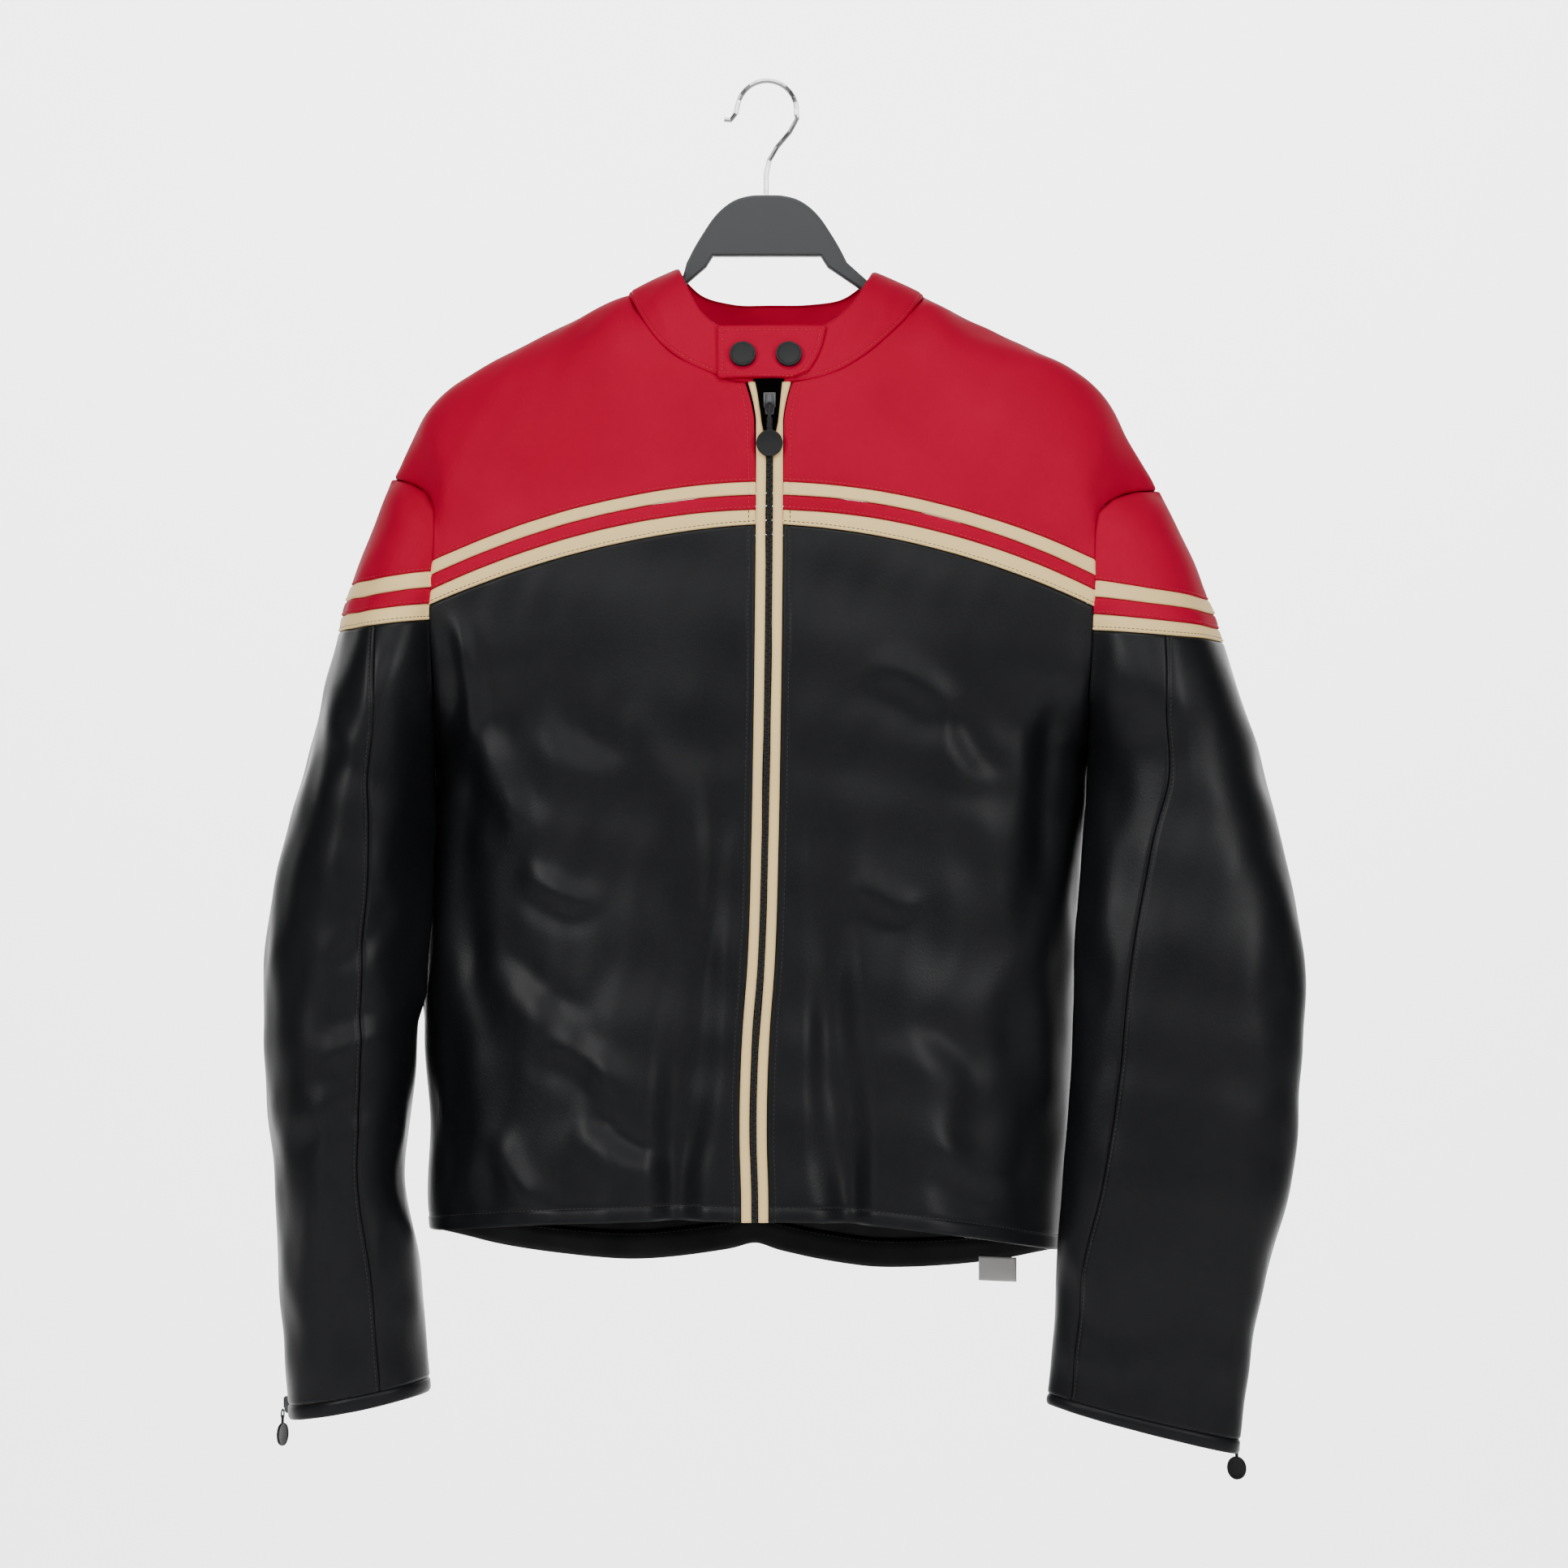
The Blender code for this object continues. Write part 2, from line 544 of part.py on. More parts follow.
def build_torso(grids, collection):
    last = len(ACROSS) - 1
    foot = len(torso_rows(RIGHT, FRONT)[0]) + BLACK_ROW - 1
    for side, word in ((RIGHT, "right"), (LEFT, "left")):
        points, normals = grids[FRONT, side]
        spans = [("front_yoke", 0, BAND_ROW, "red_leather")]
        for i, band in enumerate(BAND_NAMES):
            finish = "red_leather" if band == "stripe_middle" else "cream_leather"
            spans.append((f"front_{band}", BAND_ROW + i, BAND_ROW + i + 1, finish))
        spans.append(("front_panel", BLACK_ROW, foot, "black_leather"))
        for name, start, end, finish in spans:
            edges = ["last"] + (["foot"] if end != foot else []) + ["top"]
            part = inset(points, (start, end), (0, last), edges)
            wall(f"{name}_{word}", part, normals[start:end + 1], finish, collection)
    points = join_halves(grids[BACK, RIGHT][0], grids[BACK, LEFT][0])
    normals = join_halves(grids[BACK, RIGHT][1], grids[BACK, LEFT][1])
    spans = [("back_yoke", 0, BAND_ROW, "red_leather")]
    for i, band in enumerate(BAND_NAMES):
        finish = "red_leather" if band == "stripe_middle" else "cream_leather"
        spans.append((f"back_{band}", BAND_ROW + i, BAND_ROW + i + 1, finish))
    spans.append(("back_panel", BLACK_ROW, foot, "black_leather"))
    for name, start, end, finish in spans:
        edges = ["first", "last", "top"] + (["foot"] if end != foot else [])
        part = inset(points, (start, end), (0, 2 * last), edges)
        wall(name, part, normals[start:end + 1], finish, collection)
    build_facing(points, normals, collection)


def build_facing(points, normals, collection):
    """The strip turned up inside the back hem, and the blank label on it."""
    edge, above = points[-1, 2:-2], points[-2, 2:-2]
    up = unit(above - edge)
    strip = np.stack([edge + up * FACING_HEIGHT, edge + up * 0.4])
    facing_normals = np.stack([normals[-1, 2:-2]] * 2)
    depth = -(WALL / 2 + LOOSE + TRIM_WALL / 2)
    wall("back_hem_facing", strip, facing_normals, "black_leather", collection, TRIM_WALL, depth)
    columns = np.array([LABEL_X - LABEL_SIZE[0] / 2, LABEL_X, LABEL_X + LABEL_SIZE[0] / 2])
    rows = np.array([LABEL_Z + LABEL_SIZE[1] / 2, LABEL_Z - LABEL_SIZE[1] / 2])
    edge_y = np.interp(columns, edge[:, 0], edge[:, 1])
    patch = np.array([[(x, y, z) for x, y in zip(columns, edge_y)] for z in rows])
    lean = [np.interp(columns, edge[:, 0], normals[-1, 2:-2, k]) for k in range(3)]
    patch_normals = unit(np.stack([np.stack(lean, axis=1)] * 2))
    depth -= TRIM_WALL / 2 + LOOSE + TRIM_WALL / 4
    wall("hem_label", patch, patch_normals, "label_cloth", collection, TRIM_WALL / 2, depth)


def build_collar(grids, collection):
    """A standing band round the neckline, open at the front under its tab."""
    base, top, base_normals = [], [], []
    path = [(FRONT, RIGHT, c) for c in range(NECK_COLUMN + 1)]
    path += [(BACK, RIGHT, c) for c in range(NECK_COLUMN - 1, 0, -1)]
    path += [(BACK, LEFT, c) for c in range(NECK_COLUMN)]
    path += [(FRONT, LEFT, c) for c in range(NECK_COLUMN, -1, -1)]
    for face, side, column in path:
        points, normals = grids[face, side]
        base.append(points[0, column])
        base_normals.append(normals[0, column])
        x, z = COLLAR_TOP[face, side][column]
        top.append((x, points[0, column][1] * COLLAR_LEAN, z))
    base, top = np.array(base), np.array(top)
    shares = np.linspace(0, 1, COLLAR_ROWS)[:, None, None]
    points = top + (base - top) * shares
    normals = grid_normals(points, 1)
    normals[-1] = unit(normals[-1] + np.array(base_normals))
    lift = unit(points[-2] - points[-1]) * (SEAM / 2)
    part = points.copy()
    part[-1] += lift
    wall("collar", part, normals, "red_leather", collection, COLLAR_WALL)
    return points, normals


def share_neck_normals(grids, collar_normals):
    """Gives the sheets' neckline the collar's seam normals, so that both end on one face."""
    path = [(FRONT, RIGHT, c) for c in range(NECK_COLUMN + 1)]
    path += [(BACK, RIGHT, c) for c in range(NECK_COLUMN - 1, 0, -1)]
    path += [(BACK, LEFT, c) for c in range(NECK_COLUMN)]
    path += [(FRONT, LEFT, c) for c in range(NECK_COLUMN, -1, -1)]
    for (face, side, column), normal in zip(path, collar_normals[-1]):
        grids[face, side][1][0, column] = normal
    for side in (RIGHT, LEFT):
        grids[BACK, side][1][0, NECK_COLUMN] = grids[FRONT, side][1][0, NECK_COLUMN]
    grids[BACK, RIGHT][1][0, 0] = grids[BACK, LEFT][1][0, 0]


# ---------------------------------------------------------------- sleeves' pieces


def build_sleeve(side, word, collection):
    points, closed = sleeve(side)
    normals = grid_normals(points, -side, closed)
    normals[closed, 0] = normals[closed, -1] = (0, 0, -1)
    last = points.shape[1] - 1
    front_seam, back_seam = INNER_COLUMNS, INNER_COLUMNS + OUTER_COLUMNS
    cuff = points.shape[0] - 2
    spans = [("sleeve_cap", 0, CAP_BAND_ROW, "red_leather")]
    for i, band in enumerate(BAND_NAMES):
        finish = "red_leather" if band == "stripe_middle" else "cream_leather"
        spans.append((f"sleeve_{band}", CAP_BAND_ROW + i, CAP_BAND_ROW + i + 1, finish))
    for name, start, end, finish in spans:
        part = inset(points, (start, end), (0, last), ["top", "foot"])
        wall(f"{name}_{word}", part, normals[start:end + 1], finish, collection)
    start = CAP_BLACK_ROW
    part = inset(points, (start, cuff), (front_seam, back_seam), ["top", "foot", "first", "last"])
    wall(f"sleeve_top_{word}", part, normals[start:cuff + 1, front_seam:back_seam + 1],
         "black_leather", collection)
    order = list(range(back_seam, last + 1)) + list(range(front_seam + 1))
    under, under_normals = points[:, order], normals[:, order]
    part = inset(under, (start, cuff), (0, len(order) - 1), ["top", "foot", "first", "last"])
    joint = last - back_seam
    merge = [((row, joint), (row, joint + 1)) for row in range(closed - start, cuff - start + 1)]
    drop = {(row, joint) for row in range(cuff - start)}
    wall(f"sleeve_under_{word}", part, under_normals[start:cuff + 1], "black_leather", collection,
         merge=merge, drop=drop)
    ring = inset(points, (cuff, cuff + 1), (0, last), ["top"])
    merge = [((row, 0), (row, last)) for row in range(2)]
    wall(f"cuff_band_{word}", ring, normals[cuff:cuff + 2], "black_leather", collection, merge=merge)
    build_cuff_zip(word, points, normals, collection)


def build_cuff_zip(word, points, normals, collection):
    """The closed zip up the outer back of a cuff, its slider at the hem and its hanging pull."""
    outs = points[:, :, 2].mean(axis=1)
    foot = points.shape[0] - 1
    column = INNER_COLUMNS + OUTER_COLUMNS // 2 + 1
    rows = [row for row in range(points.shape[0]) if outs[row] < outs[foot] + CUFF_ZIP_LENGTH]
    line, out = points[rows, column], normals[rows, column]
    sideways = unit(points[rows, column + 1] - points[rows, column - 1])
    strip = np.stack([line - sideways * CUFF_ZIP_HALF, line, line + sideways * CUFF_ZIP_HALF], axis=1)
    strip_normals = np.stack([out] * 3, axis=1)
    lift = WALL / 2 + 1.0 + TRIM_WALL / 2
    wall(f"cuff_zip_{word}", strip, strip_normals, "black_metal", collection, TRIM_WALL, lift)
    at, out = line[-1], unit(out[-1])
    flat_out = unit(np.array([out[0], out[1], 0]))
    centre = at + flat_out * (lift + TRIM_WALL / 2 + 2 * LOOSE + CUFF_SLIDER_SIZE[0] / 2)
    centre[2] = at[2] + CUFF_SLIDER_SIZE[2] / 2 + 1
    turn = math.atan2(flat_out[1], flat_out[0])
    block(f"cuff_slider_{word}", centre, CUFF_SLIDER_SIZE, turn, "black_metal", collection)
    pivot = centre + flat_out * (CUFF_SLIDER_SIZE[0] / 2 + PULL_CLEAR)
    pivot[2] = centre[2] - CUFF_SLIDER_SIZE[2] / 2 + 2
    pull(f"cuff_pull_{word}", pivot, CUFF_PULL_REACH, CUFF_DISC_RADIUS, turn, collection)


def block(name, centre, size, turn, finish, collection, bevel=0.6):
    """A slider's body: a box with eased edges, turned about +Z."""
    bm = bmesh.new()
    bmesh.ops.create_cube(bm, size=1)
    bmesh.ops.scale(bm, vec=[length * MM for length in size], verts=bm.verts)
    mesh = bpy.data.meshes.new(name)
    bm.to_mesh(mesh)
    bm.free()
    obj = add(name, mesh, finish, collection)
    obj.location = [value * MM for value in centre]
    obj.rotation_euler = (0, 0, turn)
    edge = obj.modifiers.new("Bevel", "BEVEL")
    edge.width = bevel * MM
    edge.segments = 1
    return obj


def pull(name, pivot, reach, radius, turn, collection):
    """A zip pull: a flat bar that hangs from its pivot, with a round disc at its foot, as one piece.

    The object's origin is the pivot, and its local X is the way it faces."""
    bm = bmesh.new()
    bmesh.ops.create_cone(bm, cap_ends=True, segments=28, radius1=radius * MM, radius2=radius * MM,
                          depth=PULL_THICK * MM)
    bmesh.ops.rotate(bm, cent=(0, 0, 0), matrix=Matrix.Rotation(math.pi / 2, 3, "Y"), verts=bm.verts)
    bmesh.ops.translate(bm, vec=(0, 0, -reach * MM), verts=bm.verts)
    mesh = bpy.data.meshes.new(name)
    bm.to_mesh(mesh)
    bm.free()
    obj = add(name, mesh, "black_metal", collection)
    bar_top, bar_foot = 0.7, reach - radius * 0.7
    bm = bmesh.new()
    bmesh.ops.create_cube(bm, size=1)
    height = bar_top + bar_foot
    bmesh.ops.scale(bm, vec=(PULL_THICK * 0.8 * MM, PULL_BAR * MM, height * MM), verts=bm.verts)
    bmesh.ops.translate(bm, vec=(0, 0, (bar_top - height / 2) * MM), verts=bm.verts)
    bar_mesh = bpy.data.meshes.new(name + "_bar")
    bm.to_mesh(bar_mesh)
    bm.free()
    bar = bpy.data.objects.new(name + "_bar", bar_mesh)
    cutters().objects.link(bar)
    bar.hide_render = True
    bar.display_type = "WIRE"
    for each in (obj, bar):
        each.location = [value * MM for value in pivot]
        each.rotation_euler = (0, 0, turn)
    union = obj.modifiers.new("Bar", "BOOLEAN")
    union.operation = "UNION"
    union.object = bar
    union.solver = "EXACT"
    return obj


def cutters():
    """The collection that holds helper shapes, which are joined to others or cut from them."""
    if "cutters" not in bpy.data.collections:
        made = bpy.data.collections.new("cutters")
        bpy.context.scene.collection.children.link(made)
        made.hide_render = True
    return bpy.data.collections["cutters"]


# ---------------------------------------------------------------- closures


def front_line(grids):
    """The front's middle line down the zip: height and y for each row."""
    right, left = grids[FRONT, RIGHT][0][:, 0], grids[FRONT, LEFT][0][:, 0]
    return (right[:, 2] + left[:, 2]) / 2, (right[:, 1] + left[:, 1]) / 2


def build_zip(grids, collection):
    heights, depths = front_line(grids)
    zip_x = np.array([between(TORSO, "zip", z) for z in heights])
    gap = np.interp(heights, [row.z for row in ZIP_GAP], [row.half for row in ZIP_GAP])
    for side, word in ((RIGHT, "right"), (LEFT, "left")):
        outer = np.stack([zip_x + side * BINDING_INNER, depths, heights], axis=1)
        inner = np.stack([zip_x + side * gap, depths, heights], axis=1)
        strip = np.stack([inner, outer], axis=1)
        strip_normals = np.zeros_like(strip)
        strip_normals[..., 1] = -1
        wall(f"zip_binding_{word}", strip, strip_normals, "cream_leather", collection)
    start = SLIDER_Z - SLIDER_SIZE[2] / 2 - SEAM
    rows = [z for z in heights if z < start - 8]
    chain_z = np.array([start] + rows)
    chain_y = np.interp(-chain_z, -heights, depths)
    chain_x = np.array([between(TORSO, "zip", z) for z in chain_z])
    strip = np.stack([np.stack([chain_x + edge * CHAIN_HALF, chain_y, chain_z], axis=1)
                      for edge in (-1, 1)], axis=1)
    strip_normals = np.zeros_like(strip)
    strip_normals[..., 1] = -1
    wall("zip_chain", strip, strip_normals, "black_metal", collection, TRIM_WALL)
    y = float(np.interp(-SLIDER_Z, -heights, depths))
    x = between(TORSO, "zip", SLIDER_Z)
    centre = np.array([x, y - SLIDER_OUT, SLIDER_Z])
    block("zip_slider", centre, (SLIDER_SIZE[1], SLIDER_SIZE[0], SLIDER_SIZE[2]), -math.pi / 2,
          "black_metal", collection)
    pivot = centre + np.array([0, -SLIDER_SIZE[1] / 2 - PULL_CLEAR, 0])
    pull("zip_pull", pivot, PULL_REACH, PULL_DISC_RADIUS, -math.pi / 2, collection)


def build_tab(points, normals, collection):
    """The closing tab across the collar's front ends, with two snaps."""
    rows = []
    for z, share in ((TAB_TOP, 0.05), ((TAB_TOP + TAB_FOOT) / 2, 0.5), (TAB_FOOT, 0.97)):
        row_index = share * (COLLAR_ROWS - 1)
        low = min(int(row_index), COLLAR_ROWS - 2)
        mix = row_index - low
        line = points[low] * (1 - mix) + points[low + 1] * mix
        line = np.array(sorted((tuple(p) for p in line if p[1] < 0)))
        rows.append([(x, np.interp(x, line[:, 0], line[:, 1]), z) for x in TAB_X])
    grid = np.array(rows, float)
    tab_normals = grid_normals(grid, -1)
    shift = COLLAR_WALL / 2 + 2 * LOOSE + TAB_WALL / 2
    wall("collar_tab", grid, tab_normals, "red_leather", collection, TAB_WALL, shift)
    for x, word in zip(SNAP_X, ("outer", "inner")):
        run = (SNAP_Z - grid[1, 0, 2]) / (grid[2, 0, 2] - grid[1, 0, 2])
        line = grid[1] + (grid[2] - grid[1]) * run
        leans = tab_normals[1] + (tab_normals[2] - tab_normals[1]) * run
        out = unit(np.array([np.interp(x, line[:, 0], leans[:, k]) for k in range(3)]))
        at = np.array([x, np.interp(x, line[:, 0], line[:, 1]), SNAP_Z])
        at += out * (shift + TAB_WALL / 2 + LOOSE / 2 + SNAP_HEIGHT / 2)
        snap(f"snap_{word}", at, out, collection)


def snap(name, at, out, collection):
    bm = bmesh.new()
    bmesh.ops.create_cone(bm, cap_ends=True, segments=28, radius1=SNAP_RADIUS * MM,
                          radius2=SNAP_RADIUS * MM, depth=SNAP_HEIGHT * MM)
    mesh = bpy.data.meshes.new(name)
    bm.to_mesh(mesh)
    bm.free()
    obj = add(name, mesh, "black_metal", collection)
    obj.location = [value * MM for value in at]
    obj.rotation_mode = "QUATERNION"
    obj.rotation_quaternion = Vector(out).to_track_quat("Z", "Y")
    edge = obj.modifiers.new("Bevel", "BEVEL")
    edge.width = 0.6 * MM
    edge.segments = 2
    edge.limit_method = "ANGLE"


# ---------------------------------------------------------------- hanger


def arm_line(side):
    """An arm's top edge under the collar and the shoulder ridge, out to the arm's end."""
    top = TOP[side]
    neck_top = COLLAR_TOP[FRONT, side][NECK_COLUMN]
    path = [np.array(neck_top, float), np.array(top[NECK_COLUMN], float)]
    path += [np.array(point, float) for point in top[NECK_COLUMN + 1:] if abs(point[0]) < HANGER_END]
    ridge = sorted((abs(x), z) for x, z in top[NECK_COLUMN:])
    end_z = np.interp(HANGER_END, [x for x, z in ridge], [z for x, z in ridge])
    path.append(np.array([side * HANGER_END, end_z]))
    line = []
    for i, point in enumerate(path):
        before, after = path[max(i - 1, 0)], path[min(i + 1, len(path) - 1)]
        along = (after - before) / np.linalg.norm(after - before)
        down = np.array([along[1], -along[0]]) * side
        clear = HANGER_CLEAR + (COLLAR_WALL / 2 if i < 2 else 0)
        line.append((point + down * clear, down))
    return line


def build_hanger(collection):
    rows = [Arch(*row) for row in HANGER_ARCH]
    steps = np.linspace(0, rows[-1].run, 3 * len(rows))
    curve_x, curve_z = (read_along(rows, name, steps) for name in ("x", "z"))
    outline = [(curve_x[0], curve_z[0])]
    for side in (LEFT, RIGHT):
        arch = [(side * x, z) for x, z in zip(curve_x[1:], curve_z[1:])]
        arm = arm_line(side)
        top = [tuple(point) for point, down in arm]
        foot = [tuple(point + down * HANGER_ARM) for point, down in arm[1:]]
        window = [(side * x, z) for x, z in HANGER_WINDOW[1:]]
        half = arch + top + foot[::-1] + window[::-1]
        outline += half if side == LEFT else []
        if side == RIGHT:
            outline += [HANGER_WINDOW[0]] + half[::-1]
    curve = bpy.data.curves.new("hanger", "CURVE")
    curve.dimensions = "2D"
    curve.fill_mode = "BOTH"
    curve.extrude = (HANGER_THICK / 2 - HANGER_BEVEL) * MM
    curve.bevel_depth = HANGER_BEVEL * MM
    curve.bevel_resolution = 1
    spline = curve.splines.new("POLY")
    spline.points.add(len(outline) - 1)
    for point, (x, z) in zip(spline.points, outline):
        point.co = (x * MM, z * MM, 0, 1)
    spline.use_cyclic_u = True
    obj = bpy.data.objects.new("hanger", curve)
    obj.rotation_euler = (math.pi / 2, 0, 0)
    curve.materials.append(material("hanger_plastic"))
    collection.objects.link(obj)


def build_hook(collection):
    centre_z = HOOK_WIRE - HOOK_RADIUS
    path = list(HOOK_TIP)
    for degrees in range(172, -12, -12):
        angle = math.radians(degrees)
        path.append((HOOK_RADIUS * math.cos(angle), centre_z + HOOK_RADIUS * math.sin(angle)))
    path += HOOK_NECK
    curve = bpy.data.curves.new("hanger_hook", "CURVE")
    curve.dimensions = "3D"
    curve.bevel_depth = HOOK_WIRE * MM
    curve.bevel_resolution = 2
    curve.use_fill_caps = True
    spline = curve.splines.new("POLY")
    spline.points.add(len(path) - 1)
    for point, (x, z) in zip(spline.points, path):
        point.co = (x * MM, 0, z * MM, 1)
    obj = bpy.data.objects.new("hanger_hook", curve)
    curve.materials.append(material("chrome_wire"))
    collection.objects.link(obj)


def main():
    for obj in list(bpy.data.objects):
        bpy.data.objects.remove(obj, do_unlink=True)
    collection = bpy.data.collections.new("motorcycle_jacket_on_hanger")
    bpy.context.scene.collection.children.link(collection)
    grids = torso_grids()
    points, normals = build_collar(grids, collection)
    share_neck_normals(grids, normals)
    build_torso(grids, collection)
    for side, word in ((RIGHT, "right"), (LEFT, "left")):
        build_sleeve(side, word, collection)
    build_zip(grids, collection)
    build_tab(points, normals, collection)
    build_hanger(collection)
    build_hook(collection)


main()
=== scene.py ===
# %% [markdown]
# # A leather motorcycle jacket on its hanger
# The jacket hangs by its hook, so the hook's inner top is the origin. +X is the wearer's left and -Y the front.
# The hard frame, with every solid in its place, comes first: all that follows is fitted to it.

# %% The frame and its box
import math
from collections import namedtuple

import bpy
import numpy as np
from mathutils import Matrix, Vector


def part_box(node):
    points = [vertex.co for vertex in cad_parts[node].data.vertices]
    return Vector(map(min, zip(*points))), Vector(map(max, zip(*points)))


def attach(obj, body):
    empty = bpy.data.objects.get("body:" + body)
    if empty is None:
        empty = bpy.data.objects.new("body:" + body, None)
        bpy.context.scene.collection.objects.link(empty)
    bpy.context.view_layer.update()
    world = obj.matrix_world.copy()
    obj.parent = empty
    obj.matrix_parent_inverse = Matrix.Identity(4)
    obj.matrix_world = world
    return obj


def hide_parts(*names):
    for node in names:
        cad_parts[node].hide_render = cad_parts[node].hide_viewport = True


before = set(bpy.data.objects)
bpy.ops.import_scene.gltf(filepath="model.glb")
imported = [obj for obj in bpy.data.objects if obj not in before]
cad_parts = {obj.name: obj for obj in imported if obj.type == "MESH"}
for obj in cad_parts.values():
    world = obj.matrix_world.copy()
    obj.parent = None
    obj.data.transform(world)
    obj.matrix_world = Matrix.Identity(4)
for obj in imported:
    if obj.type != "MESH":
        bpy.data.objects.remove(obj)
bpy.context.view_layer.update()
MM = 0.001
print("solids in the frame:", len(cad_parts))

# %% [markdown]
# The photograph was taken from straight in front, about as far away as a person stands. A long lens at 3.5 m
# gives the same view. The camera comes first, because everything is judged through it.

# %% The camera
def new_object(name, data):
    made = bpy.data.objects.new(name, data)
    bpy.context.scene.collection.objects.link(made)
    return made


lens = bpy.data.cameras.new("camera")
lens.sensor_width = 36
lens.lens = 116.5
camera = new_object("camera", lens)
camera.location = (0.0118, -3.5, -0.4833)
camera.rotation_euler = (math.pi / 2, 0, 0)
bpy.context.scene.camera = camera
print("camera at", tuple(round(v, 3) for v in camera.location))

# %% [markdown]
# ## The pattern
# A jacket is cut flat and sewn into tubes. Here each sheet is a grid of points: rows run down it and columns
# run across. The tables hold the outline, in millimetres, read off the garment: neckline and shoulders, the
# armhole, the stripes, the hem, and the widths and depths at several heights.

# %% Sizes of the body's sheets
def table(kind, *rows):
    """Rows of numbers, each with the names of its kind."""
    return [kind(*row) for row in rows]


WALL = 2.0  # leather with its backing
COLLAR_WALL = 2.6
SEAM = 0.3  # clear gap between two pieces that are sewn together
RIGHT, LEFT = -1, 1  # the wearer's sides, as the sign of x
FRONT, BACK = -1, 1  # as the sign of y
# Share of the way from the centre to the side seam, one for each column of a half sheet.
ACROSS = (0, 0.06, 0.12, 0.2, 0.28, 0.34, 0.4, 0.52, 0.68, 0.82, 0.87, 0.91, 0.945, 0.975, 1)
NECK_COLUMN = 6
BINDING_EDGE = 9.4  # from the zip's middle to the front panels
BINDING_INNER = 9.1  # from the zip's middle to a binding's outer edge
# The top of a half front: (x, z) at each column, by the neckline and then the shoulder ridge.
TOP = {
    RIGHT: ((-9, -211), (-22, -210), (-37, -205), (-55, -197), (-72, -184), (-84, -168), (-95, -147),
            (-125, -161), (-169, -183), (-211, -206), (-224, -216), (-235, -229), (-242, -245),
            (-250, -261), (-256, -273)),
    LEFT: ((12, -211), (25, -210), (42, -206), (61, -196), (79, -182), (94, -167), (108, -148),
           (137, -163), (181, -184), (218, -203), (231, -216), (241, -231), (249, -247),
           (259, -264), (268, -281)),
}
BACK_NECK_DROP, NECK_CURVE = 31, 2.4  # of the back neckline's middle below the neck points, and its curve's power
ARMHOLE_FROM = 0.8  # share across from which a yoke's columns follow the armhole
# The armhole from the shoulder tip to the underarm: half is half its depth from front to back.
Hole = namedtuple("Hole", "x z half")
ARMHOLE = {
    RIGHT: table(Hole,
        (-256, -273, 0), (-245, -277, 22), (-233, -284, 36), (-226, -296, 47), (-226, -312, 54),
        (-227, -332, 58), (-228, -342, 59), (-228, -352, 60), (-229, -362, 60), (-228, -392, 57),
        (-227, -427, 43), (-230, -458, 0)),
    LEFT: table(Hole,
        (268, -281, 0), (253, -283, 22), (238, -288, 36), (226, -298, 47), (223, -313, 54),
        (223, -331, 58), (223, -342, 59), (223, -352, 60), (222, -363, 60), (221, -392, 57),
        (219, -427, 43), (222, -458, 0)),
}
BAND_ROW = 5  # the row at the top of the upper stripe
RIDGE_CROWD = 1.5  # crowds a yoke's rows towards the shoulder ridge, where the sheet rounds over
BAND_NAMES = ("stripe_upper", "stripe_middle", "stripe_lower")
BLACK_ROW = BAND_ROW + len(BAND_NAMES)
UNDERARM_ROW = 11
LOWER_ROWS = 13  # from the underarm's fold to the hem
UNDERARM_FOLD = 9  # height of the rounded fold under the arm
ARMHOLE_CLEAR = 2.8  # of the sleeve from the torso at the underarm, where both walls lie side by side
# The stripes' four edges: z at the zip, half way across and at the armhole.
Edge = namedtuple("Edge", "centre middle side")
STRIPES = (Edge(-279, -294, -332), Edge(-288, -303, -342), Edge(-298, -313, -352), Edge(-308, -325, -362))
HEM = {
    (FRONT, RIGHT): Edge(-779, -780, -791), (FRONT, LEFT): Edge(-779, -785, -805),
    (BACK, RIGHT): Edge(-806, -815, -791), (BACK, LEFT): Edge(-806, -822, -805),
}
# Sizes down the torso by height: x of the zip, of the side seams, the seams' y, the sheets' depths.
Torso = namedtuple("Torso", "z zip right left seam_y front back")
TORSO = table(Torso,
    (-140, 2, -230, 226, 0, 60, 48),
    (-210, 2, -230, 226, 0, 65, 55),
    (-280, 2, -230, 226, 0, 72, 62),
    (-400, 1, -230, 222, 0, 78, 64),
    (-467, 0, -226, 218, 3, 77, 62),
    (-520, -1, -226, 216, 8, 76, 60),
    (-610, -4, -232, 212, 12, 76, 58),
    (-650, -7, -236, 211, 12, 77, 58),
    (-725, -9, -232, 207, 12, 79, 60),
    (-760, -8, -234, 205, 12, 80, 62),
    (-806, -8, -231, 203, 12, 82, 64))
ROOF = 70  # drop below the shoulder ridge over which a sheet rounds out to its depth
SIDE_POWER = 3.2
SIDE_ROUND = 1.8
# The largest folds: a ridge (+) or trough (-) that grows down a straight line from top to foot.
Fold = namedtuple("Fold", "face x_top z_top x_foot z_foot width height")
FOLDS = table(Fold,
    (FRONT, -24, -330, -62, -790, 13, -13),
    (FRONT, 28, -400, 56, -790, 13, -14),
    (FRONT, -60, -420, -110, -800, 26, 7),
    (FRONT, 60, -430, 120, -800, 28, 7),
    (FRONT, -170, -420, -205, -760, 14, -6),
    (FRONT, 175, -420, 185, -780, 15, -6),
    (BACK, -70, -380, -95, -815, 22, -9),
    (BACK, 60, -400, 78, -815, 22, -9),
    (BACK, -5, -460, -8, -815, 30, 7),
    (BACK, -165, -430, -190, -790, 16, -6),
    (BACK, 160, -430, 170, -790, 16, -6))
print("stripes' height at the zip:", STRIPES[0].centre - STRIPES[-1].centre, "mm")

# %% Reading a table along a smooth curve
Step = namedtuple("Step", "z value")


